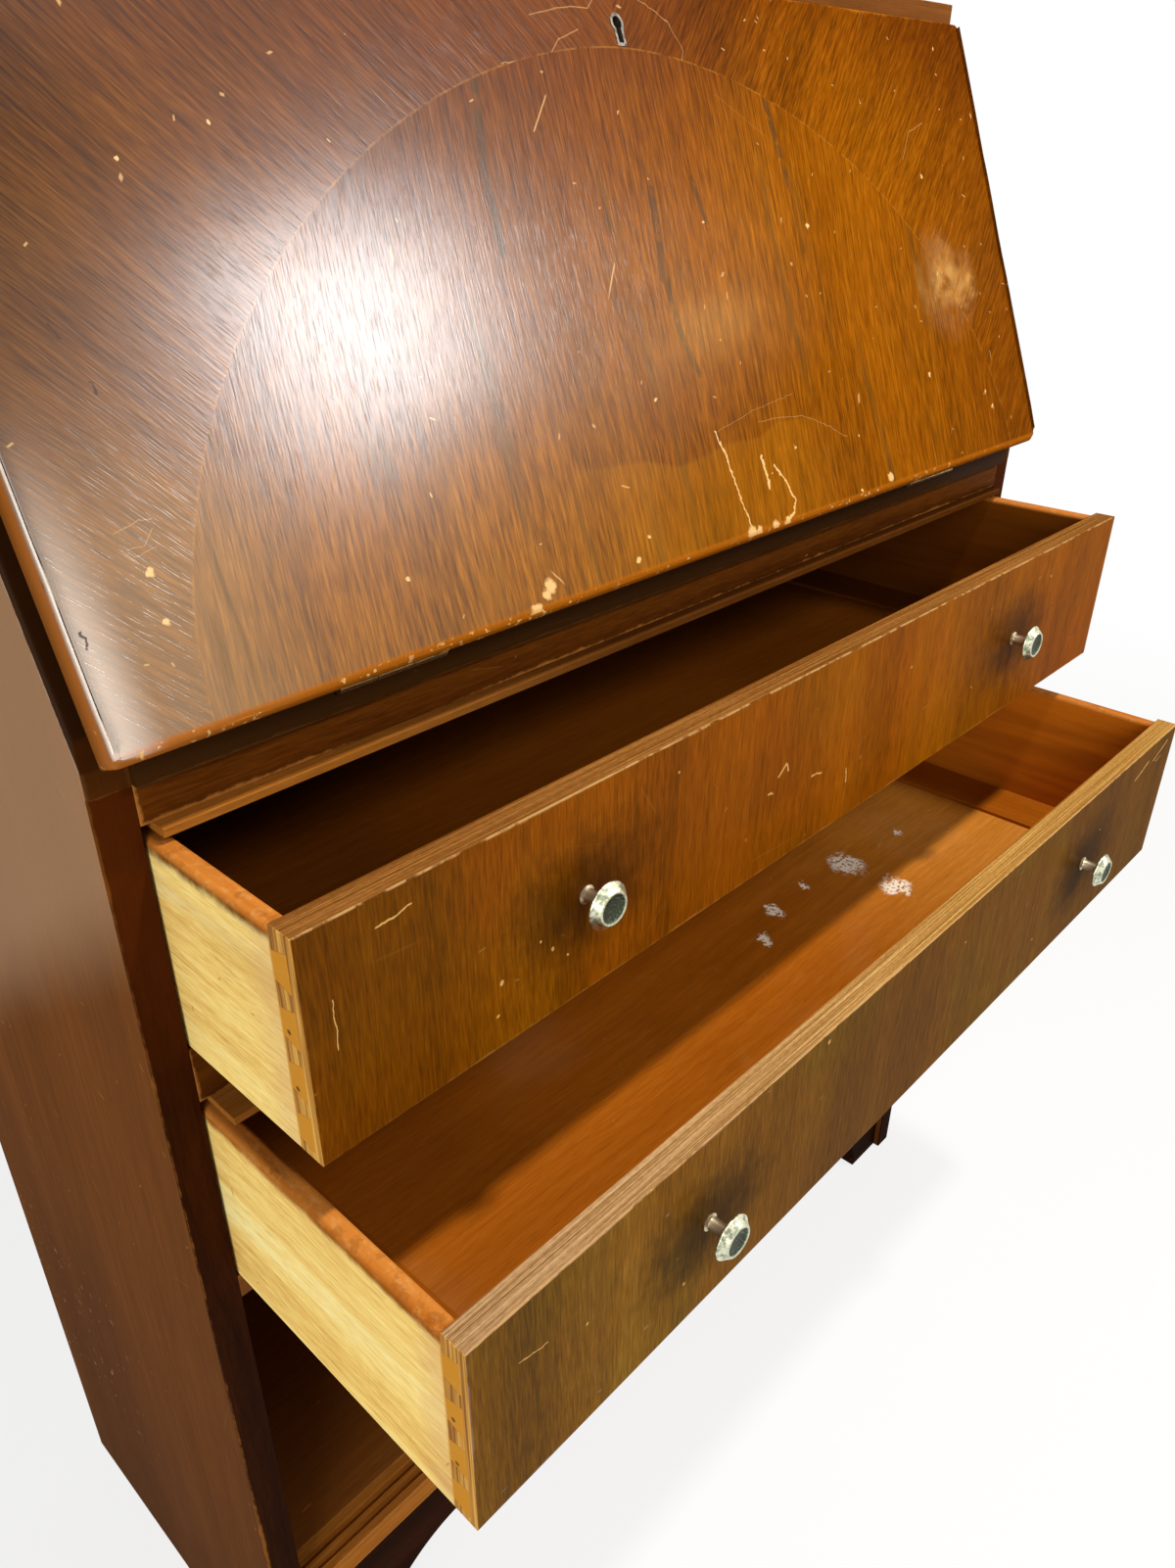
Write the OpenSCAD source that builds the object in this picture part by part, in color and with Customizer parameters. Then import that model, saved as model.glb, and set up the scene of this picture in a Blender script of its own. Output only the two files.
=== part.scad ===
// Drop-front bureau: sloping fall over a desk, two long drawers and a cupboard with sliding glass doors.
// Millimetres. X runs left to right, Y front to back, Z up. The bureau stands on Z = 0 and is drawn
// with the fall shut and both drawers part open. Inside the modules Y = 0 is the front of the sides.

/* [Case] */
// Width over the two sides
case_width = 762; // [740:1:790]
// Depth of the sides from front edge to back edge
case_depth = 305; // [300:1:325]
// Height from the floor to the top
case_height = 1052; // [1045:1:1070]
// Thickness of the side panels
side_thickness = 18; // [17:0.5:19]
// Thickness of the top board
top_thickness = 14; // [13:0.5:16]
// Thickness of the plywood back
back_thickness = 4; // [3:0.5:5]
// Width of the rebate that takes the back
back_rebate = 9; // [8:0.5:10]
// Depth of the housings cut in the sides for the fixed boards
housing_depth = 6; // [4:0.5:7]
// Thickness of the lipping on the front edges of the sides
lipping_thickness = 1.5; // [1:0.1:2]

/* [Desk] */
// Height of the writing surface
writing_height = 758; // [750:1:765]
// Thickness of the desk floor
desk_floor_thickness = 12; // [11:0.5:13]
// Height of the rail under the desk floor
desk_rail_height = 19; // [17:0.5:21]
// Depth of the rails, front to back
rail_depth = 45; // [40:1:50]
// Height of the shelf over the pigeonholes, from the writing surface
pigeonhole_height = 122; // [110:1:135]
// Depth of the pigeonholes
pigeonhole_depth = 118; // [105:1:125]
// Thickness of the pigeonhole boards
pigeonhole_board = 8; // [6:0.5:9]

/* [Fall] */
// Slope of the closed fall, degrees from level
slope_angle = 67.5; // [66:0.5:69]
// Rise from the writing surface to the foot of the slope on the sides
slope_foot_rise = 12; // [11:0.5:14]
// Thickness of the fall with its veneer
fall_thickness = 18; // [17:0.5:19]
// Thickness of the face veneers
veneer_thickness = 0.8; // [0.6:0.1:1.2]
// Set-in of each end of the fall from the outside of the case
fall_inset = 5; // [3:0.5:7]
// Gap between the top edge of the fall and the top board
fall_top_gap = 5; // [4.5:0.5:6]
// Distance from the end of the fall to the foot of the arch
arch_margin = 41; // [36:1:50]
// Distance from the top edge of the fall to the crown of the arch
arch_crown_gap = 37; // [32:1:44]
// Fullness of the arch curve, 2 is an ellipse
arch_fullness = 1.85; // [1.7:0.05:2.1]

/* [Hinges and stays] */
// Length of each hinge along the edge
hinge_length = 60; // [54:1:70]
// Width of one hinge leaf
hinge_leaf = 22; // [20:1:25]
// Thickness of a hinge leaf
hinge_thickness = 2; // [1.6:0.1:2.2]
// Radius of the hinge knuckle
knuckle_radius = 3; // [2.8:0.1:3.4]
// Radius of the hinge pin
hinge_pin_radius = 1.5; // [1.3:0.1:1.7]
// Distance from the middle of the fall to each hinge
hinge_offset = 240; // [220:1:260]
// Length of each stay arm, hole to hole
stay_arm = 100; // [94:1:106]
// Width of a stay arm
stay_width = 12; // [11:0.5:13]
// Thickness of a stay arm
stay_thickness = 2.5; // [2:0.1:2.6]
// Radius of the stay rivets
stay_rivet_radius = 2.5; // [2.2:0.1:2.8]
// Rise of the fixed stay rivet over the hinge line, degrees
stay_fixed_angle = 10; // [9:0.5:12]
// Distance of the fall rivet from the inner face of the fall
stay_stand_off = 9; // [8.5:0.5:10]

/* [Lock] */
// Width of the lock case
lock_width = 50; // [44:1:56]
// Height of the lock case
lock_height = 38; // [36:1:44]
// Depth of the lock case
lock_depth = 9; // [8.5:0.5:10]
// Throw of the bolt
bolt_throw = 10; // [9.5:0.5:11]
// Width of the bolt
bolt_width = 18; // [14:1:22]
// Thickness of the bolt
bolt_thickness = 3; // [2.6:0.1:3.4]
// Distance from the top edge of the fall to the centre of the keyhole head
keyhole_drop = 25; // [23:0.5:27]
// Inner radius of the keyhole head
keyhole_radius = 3.2; // [3:0.1:3.6]
// Wall of the keyhole liner
keyhole_wall = 1.6; // [1.2:0.1:2]

/* [Drawers] */
// Height of the upper drawer front
upper_front_height = 109; // [104:1:114]
// Height of the lower drawer front
lower_front_height = 113; // [108:1:120]
// Height of the divider between the drawers
divider_height = 31; // [28:1:34]
// Thickness of the kicker boards over each drawer
kicker_thickness = 4; // [3:0.5:5]
// Set-in of the kicker boards from the inside of the case
kicker_inset = 5; // [4:0.5:7]
// Projection of the upper kicker in front of the case
upper_kicker_nose = 8; // [4:1:10]
// Projection of the lower kicker in front of the case
lower_kicker_nose = 20; // [10:1:22]
// Depth of the drawers, front to back
drawer_depth = 284; // [276:1:288]
// Thickness of the drawer fronts
front_thickness = 14; // [13:0.5:16]
// Thickness of the drawer sides and backs
drawer_side = 9.5; // [9:0.5:11]
// Thickness of the drawer bottoms
drawer_bottom = 4; // [3:0.5:5]
// Height of the drawer bottom over the lower edge of the front
bottom_rise = 8; // [7:0.5:10]
// Depth of the grooves that take the drawer bottoms
groove_depth = 4; // [3:0.5:5]
// Drop of the drawer sides under the top of the front
side_drop = 2; // [1:0.5:4]
// Side gap of a drawer in its opening
drawer_side_gap = 1.5; // [1:0.1:2]
// Gap between a drawer and the kicker over it
drawer_top_gap = 1; // [0.8:0.1:1.5]
// Width of the slips on the drawer floor
slip_width = 44; // [38:1:50]
// Thickness of the slips
slip_thickness = 3; // [2:0.5:4]
// How far the upper drawer is drawn out as stored
upper_open = 98; // [90:1:110]
// How far the lower drawer is drawn out as stored
lower_open = 178; // [165:1:190]

/* [Knobs] */
// Diameter of the knob disc
knob_diameter = 24; // [22:1:26]
// Projection of the knob from the drawer front
knob_projection = 17.5; // [16:0.5:19]
// Diameter of the knob stem
knob_stem_diameter = 7; // [6:0.5:8]
// Distance from the middle of the drawer to each knob
knob_offset = 213; // [200:1:225]

/* [Cupboard] */
// Thickness of the cupboard top and floor
cupboard_board = 15; // [14:0.5:16]
// Height of the cupboard floor over the ground
cupboard_floor_height = 165; // [160:1:172]
// Height of the door rail
door_rail_height = 20; // [19:0.5:22]
// Depth of the door rail, front to back
door_rail_depth = 26; // [25:0.5:30]
// Width of each door groove
door_groove = 5; // [4.8:0.1:5.4]
// Distance from the front of the rail to the first groove
first_groove = 6; // [5:0.5:7]
// Wall left between the two grooves
groove_wall = 3; // [2.5:0.5:4]
// Thickness of the glass doors
glass_thickness = 4; // [3.6:0.1:4.2]
// Overlap of the two doors in the middle
door_overlap = 11; // [8:1:20]
// Set-back of the plinth from the front of the sides
plinth_setback = 6; // [4:0.5:9]
// Thickness of the plinth
plinth_thickness = 15; // [13:0.5:18]
// Height of the cut-out under the plinth, also the radius of its two ends
plinth_cut = 88; // [80:1:96]
// Width of each foot of the plinth inside the case
plinth_foot = 43; // [38:1:50]

/* [Hidden] */
$fn = 40;
// Running gap between pieces that move past each other
run_gap = 0.3;
inner_half = case_width / 2 - side_thickness;
top_underside = case_height - top_thickness;
back_plane = case_depth - back_thickness;
slope_run = 1 / tan(slope_angle);
hinge_y = -slope_foot_rise * slope_run;
side_foot = writing_height + slope_foot_rise - run_gap / cos(slope_angle);
side_top_y = (top_underside - side_foot) * slope_run;
fall_half = case_width / 2 - fall_inset;
fall_length = (top_underside - fall_top_gap - writing_height) / sin(slope_angle);
fall_reach = sqrt(fall_length * fall_length + fall_thickness * fall_thickness);
top_front = hinge_y + sqrt(pow(fall_reach + 1, 2) - pow(top_underside - writing_height, 2));
arch_half = fall_half - arch_margin;
arch_height = fall_length - arch_crown_gap;
desk_rail_top = writing_height - desk_floor_thickness;
desk_rail_bottom = desk_rail_top - desk_rail_height;
upper_kicker_bottom = desk_rail_bottom - kicker_thickness;
upper_top = upper_kicker_bottom - drawer_top_gap;
upper_bottom = upper_top - upper_front_height;
upper_run = upper_bottom - run_gap;
lower_kicker_top = upper_run - divider_height;
lower_kicker_bottom = lower_kicker_top - kicker_thickness;
lower_top = lower_kicker_bottom - drawer_top_gap;
lower_bottom = lower_top - lower_front_height;
lower_run = lower_bottom - run_gap;
cupboard_ceiling = lower_run - cupboard_board;
cupboard_underside = cupboard_floor_height - cupboard_board;
door_rail_bottom = cupboard_floor_height - door_rail_height;
second_groove = first_groove + door_groove + groove_wall;
lower_groove_depth = 5;
upper_groove_depth = 10;
glass_bottom = cupboard_floor_height - lower_groove_depth + run_gap;
glass_top = cupboard_ceiling + 4.5;
door_width = inner_half - run_gap + door_overlap / 2;
drawer_half = inner_half - drawer_side_gap;
stop_height = 5;
pin_play = 0.1;
screw_head = 3.4;
screw_shank = 1.6;
screw_sink = 1.8;
screw_length = 10;
back_screw_length = 14;
hole_over = 0.5;
back_screw_first = 200;
back_screw_margin = 52;
back_screw_step = (case_height - back_screw_margin - back_screw_first) / 4;
plate_screw_pitch = 20;
stay_plate_length = 34;
stay_plate_width = 14;
bracket_length = 32;
bracket_width = 22;
bracket_screw_inset = 14;
stop_length = 24;
stop_width = 30;
stop_place = inner_half / 2;
runner_width = 18;
plinth_block = 30;
plinth_block_nose = 5;
plinth_back = plinth_setback + plinth_thickness;
upright_hollow = 22;
upright_setback = 3;
grip_inset = 24;
grip_width = 14;
grip_length = 50;
rivet_head = 1.2;
rivet_rim = 1.5;
layer = stay_thickness + run_gap;
plate_inner = inner_half - hinge_thickness;
rear_arm_outer = plate_inner - run_gap;
front_arm_outer = rear_arm_outer - layer;
ear_outer = front_arm_outer - layer;
fixed_rivet_y = hinge_y + stay_arm * cos(stay_fixed_angle);
fixed_rivet_z = writing_height + stay_arm * sin(stay_fixed_angle);
fall_rivet_s = sqrt(stay_arm * stay_arm - stay_stand_off * stay_stand_off);
fall_rivet_angle = slope_angle - asin(stay_stand_off / stay_arm);
middle_rivet_y = fixed_rivet_y + stay_arm * cos(fall_rivet_angle);
middle_rivet_z = fixed_rivet_z + stay_arm * sin(fall_rivet_angle);
bolt_centre = 4.5;
row_middle = (case_depth - lower_open - knob_projection) / 2;

walnut = [0.42, 0.22, 0.1];
dark_walnut = [0.26, 0.13, 0.07];
raw_wood = [0.82, 0.68, 0.42];
brass = [0.78, 0.66, 0.38];
steel = [0.6, 0.6, 0.58];

// Moves the case frame so that the origin lies under the middle of the whole row
module in_row() {
    translate([0, -row_middle, 0])
        children();
}

// Local frame of the closed fall: X along it, Y up the slope, Z out of its face
module on_fall() {
    translate([0, hinge_y, writing_height])
        rotate([slope_angle, 0, 0])
            children();
}

// Box from its two opposite corners
module box(low, high) {
    translate(low)
        cube([high[0] - low[0], high[1] - low[1], high[2] - low[2]]);
}

// Extrudes an outline drawn in Y and Z from x0 to x1
module across(x0, x1) {
    translate([x0, 0, 0])
        rotate([90, 0, 90])
            linear_extrude(x1 - x0)
                children();
}

// Extrudes an outline drawn in X and Z from y0 to y1
module frontward(y0, y1) {
    translate([0, y1, 0])
        rotate([90, 0, 0])
            linear_extrude(y1 - y0)
                children();
}

module mirror_pair() {
    children();
    mirror([1, 0, 0])
        children();
}

// Countersunk screw, head face at Z = 0 and shank down; a hole for one runs on above its head by "over"
module screw(length = screw_length, over = 0) {
    translate([0, 0, -screw_sink])
        cylinder(h = screw_sink, r1 = screw_shank, r2 = screw_head, $fn = 20);
    translate([0, 0, -length])
        cylinder(h = length - screw_sink, r = screw_shank, $fn = 20);
    if (over > 0)
        cylinder(h = over, r = screw_head, $fn = 20);
}

module side_outline() {
    polygon([[0, 0], [0, side_foot], [side_top_y, top_underside], [case_depth, top_underside], [case_depth, 0]]);
}

back_screw_heights = [for (k = [0:4]) back_screw_first + k * back_screw_step];

// Right-hand side; the left one is its mirror image
module side_panel() {
    difference() {
        across(inner_half, case_width / 2)
            side_outline();
        box([inner_half - 1, back_plane, cupboard_underside], [inner_half + back_rebate, case_depth + 1, case_height]);
        box([inner_half - 1, -1, -1], [case_width / 2 + 1, lipping_thickness, desk_rail_top]);
        box([inner_half - 1, rail_depth, desk_rail_top],
            [inner_half + housing_depth, back_plane, writing_height]);
        box([inner_half - 1, rail_depth, cupboard_ceiling],
            [inner_half + housing_depth, back_plane, lower_run]);
        box([inner_half - 1, rail_depth, cupboard_underside],
            [inner_half + housing_depth, back_plane, cupboard_floor_height]);
        side_screw_holes();
    }
}

module side_screw_holes() {
    for (z = back_screw_heights)
        translate([inner_half + back_rebate / 2, case_depth, z])
            rotate([-90, 0, 0])
                screw(back_screw_length, hole_over);
    plate_screws(hole_over);
}

module plate_screws(over) {
    for (dy = [-1, 1])
        translate([inner_half, fixed_rivet_y + dy * plate_screw_pitch / 2, fixed_rivet_z])
            rotate([0, -90, 0])
                translate([0, 0, hinge_thickness])
                    screw(screw_length, over);
}

module left_side() {
    color(walnut)
        in_row()
            mirror([1, 0, 0])
                side_panel();
}

module right_side() {
    color(walnut)
        in_row()
            side_panel();
}

module top_board() {
    color(walnut)
        in_row()
            difference() {
                box([-case_width / 2, top_front, top_underside], [case_width / 2, case_depth, case_height]);
                striker_plate(0);
                bolt_way();
            }
}

module back_panel() {
    color(raw_wood)
        in_row()
            difference() {
                box([-inner_half - back_rebate, back_plane, cupboard_underside],
                    [inner_half + back_rebate, case_depth, top_underside]);
                back_screw_set(hole_over);
            }
}

module back_screw_set(over) {
    mirror_pair()
        for (z = back_screw_heights)
            translate([inner_half + back_rebate / 2, case_depth, z])
                rotate([-90, 0, 0])
                    screw(back_screw_length, over);
}

module back_screws() {
    color(steel)
        in_row()
            back_screw_set(0);
}

module stile_lippings() {
    color(dark_walnut)
        in_row()
            mirror_pair()
                box([inner_half, 0, 0], [case_width / 2, lipping_thickness, desk_rail_top]);
}

// Board housed in both sides behind the rail, flush with them in front
module housed_board(front, bottom, top) {
    box([-inner_half, front, bottom], [inner_half, rail_depth, top]);
    box([-inner_half - housing_depth, rail_depth, bottom], [inner_half + housing_depth, back_plane, top]);
}

module desk_floor() {
    color(walnut)
        in_row()
            difference() {
                housed_board(hinge_y + run_gap, desk_rail_top, writing_height);
                hinge_leaf_set(floor_leaf_blank = true);
                knuckle_clearance();
                floor_hinge_screws(hole_over);
            }
}

module desk_rail() {
    color(walnut)
        in_row()
            box([-inner_half, 0, desk_rail_bottom], [inner_half, rail_depth, desk_rail_top]);
}

upright_positions = [-1 / 2, 0, 1 / 2];

module pigeonhole_shelf() {
    color(walnut)
        in_row()
            box([-inner_half, back_plane - pigeonhole_depth, writing_height + pigeonhole_height],
                [inner_half, back_plane, writing_height + pigeonhole_height + pigeonhole_board]);
}

module pigeonhole_uprights() {
    color(walnut)
        in_row()
            for (k = upright_positions)
                translate([k * inner_half, 0, 0])
                    across(-pigeonhole_board / 2, pigeonhole_board / 2)
                        polygon([[back_plane - pigeonhole_depth + upright_setback, writing_height],
                            [back_plane, writing_height],
                            [back_plane, writing_height + pigeonhole_height],
                            [back_plane - pigeonhole_depth + upright_setback, writing_height + pigeonhole_height],
                            [back_plane - pigeonhole_depth + upright_hollow, writing_height + pigeonhole_height / 2]]);
}

module upper_kicker() {
    color(raw_wood)
        in_row()
            box([-inner_half + kicker_inset, -upper_kicker_nose, upper_kicker_bottom],
                [inner_half - kicker_inset, rail_depth, desk_rail_bottom]);
}

module divider_rail() {
    color(walnut)
        in_row()
            box([-inner_half, 0, lower_kicker_top], [inner_half, rail_depth, upper_run]);
}

module drawer_runners() {
    color(raw_wood)
        in_row()
            mirror_pair()
                box([inner_half - runner_width, rail_depth, lower_kicker_top], [inner_half, back_plane, upper_run]);
}

module lower_kicker() {
    color(raw_wood)
        in_row()
            box([-inner_half + kicker_inset, -lower_kicker_nose, lower_kicker_bottom],
                [inner_half - kicker_inset, back_plane - 6, lower_kicker_top]);
}

module drawer_stops() {
    color(raw_wood)
        in_row()
            mirror_pair()
                for (z = [upper_run, lower_run])
                    box([stop_place - stop_width / 2, front_thickness + run_gap, z],
                        [stop_place + stop_width / 2, front_thickness + run_gap + stop_length, z + stop_height]);
}

module cupboard_top() {
    color(walnut)
        in_row()
            difference() {
                housed_board(0, cupboard_ceiling, lower_run);
                for (y = [first_groove, second_groove])
                    box([-inner_half - 1, y, cupboard_ceiling - 1],
                        [inner_half + 1, y + door_groove, cupboard_ceiling + upper_groove_depth]);
            }
}

module cupboard_floor() {
    color(walnut)
        in_row() {
            box([-inner_half, door_rail_depth, cupboard_underside], [inner_half, rail_depth, cupboard_floor_height]);
            box([-inner_half - housing_depth, rail_depth, cupboard_underside],
                [inner_half + housing_depth, back_plane, cupboard_floor_height]);
        }
}

module door_rail() {
    color(walnut)
        in_row()
            difference() {
                box([-inner_half, 0, door_rail_bottom], [inner_half, door_rail_depth, cupboard_floor_height]);
                for (y = [first_groove, second_groove])
                    box([-inner_half - 1, y, cupboard_floor_height - lower_groove_depth],
                        [inner_half + 1, y + door_groove, cupboard_floor_height + 1]);
            }
}

module plinth_front() {
    color(dark_walnut)
        in_row()
            frontward(plinth_setback, plinth_setback + plinth_thickness)
                difference() {
                    translate([-inner_half, 0])
                        square([2 * inner_half, door_rail_bottom]);
                    for (x = [-1, 1])
                        translate([x * (inner_half - plinth_foot - plinth_cut), 0])
                            circle(r = plinth_cut, $fn = 96);
                    translate([-inner_half + plinth_foot + plinth_cut, -1])
                        square([2 * (inner_half - plinth_foot - plinth_cut), plinth_cut + 1]);
                }
}

module plinth_blocks() {
    color(raw_wood)
        in_row()
            mirror_pair()
                linear_extrude(door_rail_bottom)
                    polygon([[inner_half, plinth_back],
                        [inner_half, plinth_back + plinth_block],
                        [inner_half - plinth_block_nose, plinth_back + plinth_block],
                        [inner_half - plinth_block, plinth_back + plinth_block_nose],
                        [inner_half - plinth_block, plinth_back]]);
}

// Hinges

module hinge_places() {
    for (x = [-hinge_offset, hinge_offset])
        translate([x, hinge_y, writing_height])
            children();
}

knuckle_third = hinge_length / 3;

module hinge_leaf_set(floor_leaf_blank = false) {
    hinge_places()
        floor_leaf_shape(floor_leaf_blank);
}

module floor_leaf_shape(blank) {
    box([-hinge_length / 2, blank ? 0 : knuckle_radius * 0.6, -hinge_thickness],
        [hinge_length / 2, hinge_leaf, 0]);
}

// Round way in the desk floor and the fall for the turning knuckles
module knuckle_clearance() {
    hinge_places()
        translate([-hinge_length / 2 - 1, 0, 0])
            rotate([0, 90, 0])
                cylinder(h = hinge_length + 2, r = knuckle_radius + run_gap, $fn = 48);
}

module floor_hinge_screws(over) {
    hinge_places()
        for (x = [-hinge_length / 3, 0, hinge_length / 3])
            translate([x, hinge_leaf * 0.62, 0])
                screw(screw_length, over);
}

module floor_hinge_leaves() {
    color(brass)
        in_row()
            difference() {
                hinge_places()
                    difference() {
                        union() {
                            floor_leaf_shape(false);
                            for (x = [-hinge_length / 2, hinge_length / 6])
                                translate([x, 0, 0])
                                    rotate([0, 90, 0])
                                        cylinder(h = knuckle_third, r = knuckle_radius, $fn = 48);
                            for (x = [-hinge_length / 2, hinge_length / 6])
                                box([x, 0, -hinge_thickness], [x + knuckle_third, knuckle_radius, 0]);
                        }
                        translate([-hinge_length / 6 - run_gap, 0, 0])
                            rotate([0, 90, 0])
                                cylinder(h = knuckle_third + 2 * run_gap, r = knuckle_radius + run_gap, $fn = 48);
                        translate([-hinge_length, 0, 0])
                            rotate([0, 90, 0])
                                cylinder(h = 2 * hinge_length, r = hinge_pin_radius, $fn = 32);
                    }
                floor_hinge_screws(hole_over);
            }
}

module hinge_pins() {
    color(steel)
        in_row()
            hinge_places()
                translate([-hinge_length / 2, 0, 0])
                    rotate([0, 90, 0])
                        cylinder(h = hinge_length, r = hinge_pin_radius, $fn = 32);
}

module fall_hinge_places() {
    for (x = [-hinge_offset, hinge_offset])
        translate([x, 0, 0])
            children();
}

module fall_hinge_screws(over) {
    fall_hinge_places()
        for (x = [-hinge_length / 3, 0, hinge_length / 3])
            translate([x, hinge_leaf * 0.62, 0])
                rotate([180, 0, 0])
                    screw(screw_length, over);
}

module fall_hinge_leaves() {
    color(brass)
        in_row()
            on_fall()
                difference() {
                    fall_hinge_places()
                        difference() {
                            union() {
                                box([-hinge_length / 2, knuckle_radius * 0.6, 0],
                                    [hinge_length / 2, hinge_leaf, hinge_thickness]);
                                translate([-hinge_length / 6 + run_gap / 2, 0, 0])
                                    rotate([0, 90, 0])
                                        cylinder(h = knuckle_third - run_gap, r = knuckle_radius, $fn = 48);
                                box([-hinge_length / 6 + run_gap / 2, 0, 0],
                                    [hinge_length / 6 - run_gap / 2, knuckle_radius, hinge_thickness]);
                            }
                            for (x = [-hinge_length / 2 - run_gap, hinge_length / 6 - run_gap / 2])
                                translate([x, 0, 0])
                                    rotate([0, 90, 0])
                                        cylinder(h = knuckle_third + 1.5 * run_gap, r = knuckle_radius + run_gap, $fn = 48);
                            translate([-hinge_length, 0, 0])
                                rotate([0, 90, 0])
                                    cylinder(h = 2 * hinge_length, r = hinge_pin_radius + pin_play, $fn = 32);
                        }
                    fall_hinge_screws(hole_over);
                }
}

// Stays

module stay_side_plates() {
    color(brass)
        in_row()
            mirror_pair()
                difference() {
                    union() {
                        translate([0, fixed_rivet_y, fixed_rivet_z])
                            across(plate_inner, inner_half)
                                square([stay_plate_length, stay_plate_width], center = true);
                        translate([rear_arm_outer - layer - rivet_head, fixed_rivet_y, fixed_rivet_z])
                            rotate([0, 90, 0])
                                cylinder(h = plate_inner - rear_arm_outer + layer + rivet_head, r = stay_rivet_radius);
                        translate([rear_arm_outer - layer - rivet_head, fixed_rivet_y, fixed_rivet_z])
                            rotate([0, 90, 0])
                                cylinder(h = rivet_head, r = stay_rivet_radius + rivet_rim);
                    }
                    side_screw_holes();
                }
}

// Arm outline in Y and Z between two rivets, with a hole at each end in holes
module arm_outline(angle, holes) {
    difference() {
        rotate(angle)
            union() {
                translate([0, -stay_width / 2])
                    square([stay_arm, stay_width]);
                circle(d = stay_width);
                translate([stay_arm, 0])
                    circle(d = stay_width);
            }
        for (t = holes)
            rotate(angle)
                translate([t * stay_arm, 0])
                    circle(r = stay_rivet_radius + pin_play);
    }
}

module rear_arm() {
    translate([0, fixed_rivet_y, fixed_rivet_z])
        across(rear_arm_outer - stay_thickness, rear_arm_outer)
            arm_outline(fall_rivet_angle, [0]);
    translate([front_arm_outer - layer - 1.2, middle_rivet_y, middle_rivet_z])
        rotate([0, 90, 0])
            cylinder(h = rear_arm_outer - stay_thickness - front_arm_outer + layer + 1.2, r = stay_rivet_radius);
    translate([front_arm_outer - layer - 1.2, middle_rivet_y, middle_rivet_z])
        rotate([0, 90, 0])
            cylinder(h = 1.2, r = stay_rivet_radius + 1.5);
}

module front_arm() {
    translate([0, middle_rivet_y, middle_rivet_z])
        across(front_arm_outer - stay_thickness, front_arm_outer)
            arm_outline(180 + stay_fixed_angle, [0, 1]);
}

module left_rear_arm() {
    color(brass)
        in_row()
            mirror([1, 0, 0])
                rear_arm();
}

module right_rear_arm() {
    color(brass)
        in_row()
            rear_arm();
}

module left_front_arm() {
    color(brass)
        in_row()
            mirror([1, 0, 0])
                front_arm();
}

module right_front_arm() {
    color(brass)
        in_row()
            front_arm();
}

module bracket_screws(over) {
    mirror_pair()
        for (ds = [-1, 1])
            translate([ear_outer - bracket_screw_inset, fall_rivet_s + ds * plate_screw_pitch / 2, -hinge_thickness])
                rotate([180, 0, 0])
                    screw(screw_length, over);
}

module stay_fall_brackets() {
    color(brass)
        in_row()
            on_fall()
                difference() {
                    mirror_pair() {
                        box([ear_outer - bracket_width, fall_rivet_s - bracket_length / 2, -hinge_thickness],
                            [ear_outer, fall_rivet_s + bracket_length / 2, 0]);
                        translate([ear_outer - stay_thickness, fall_rivet_s, 0])
                            rotate([90, 0, 90])
                                linear_extrude(stay_thickness)
                                    union() {
                                        translate([-stay_width / 2, -stay_stand_off])
                                            square([stay_width, stay_stand_off - 1]);
                                        translate([0, -stay_stand_off])
                                            circle(d = stay_width);
                                    }
                        translate([ear_outer, fall_rivet_s, -stay_stand_off])
                            rotate([0, 90, 0])
                                cylinder(h = layer + run_gap + rivet_head, r = stay_rivet_radius);
                        translate([ear_outer + layer + run_gap, fall_rivet_s, -stay_stand_off])
                            rotate([0, 90, 0])
                                cylinder(h = rivet_head, r = stay_rivet_radius + rivet_rim);
                    }
                    bracket_screws(hole_over);
                }
}

module case_screws() {
    color(brass)
        in_row() {
            floor_hinge_screws(0);
            mirror_pair()
                plate_screws(0);
        }
}

module fall_screws() {
    color(brass)
        in_row()
            on_fall() {
                fall_hinge_screws(0);
                bracket_screws(0);
            }
}

// Fall

module keyhole_outline(grow) {
    circle(r = keyhole_radius + grow, $fn = 48);
    translate([-keyhole_radius * 0.58 - grow, -keyhole_radius * 3 - grow])
        square([2 * (keyhole_radius * 0.58 + grow), keyhole_radius * 3]);
}

module at_keyhole() {
    translate([0, fall_length - keyhole_drop, 0])
        children();
}

module keyhole_cut(grow, low, high) {
    at_keyhole()
        translate([0, 0, low])
            linear_extrude(high - low)
                keyhole_outline(grow);
}

module lock_recess() {
    box([-lock_width / 2, fall_length - lock_height, -1], [lock_width / 2, fall_length + 1, lock_depth]);
    box([-lock_width / 2 - 7, fall_length - 2, -1], [lock_width / 2 + 7, fall_length + 1, lock_depth + 2]);
}

module fall_panel() {
    color(walnut)
        in_row()
            difference() {
                on_fall()
                    difference() {
                        box([-fall_half, 0, 0], [fall_half, fall_length, fall_thickness - veneer_thickness]);
                        fall_hinge_places()
                            box([-hinge_length / 2, -1, -1], [hinge_length / 2, hinge_leaf, hinge_thickness]);
                        fall_hinge_screws(hole_over);
                        bracket_screws(hole_over);
                        lock_recess();
                        keyhole_cut(0, lock_depth - 1, fall_thickness);
                        keyhole_cut(keyhole_wall, fall_thickness - 6, fall_thickness);
                    }
                knuckle_clearance();
            }
}

arch_steps = 48;

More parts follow.
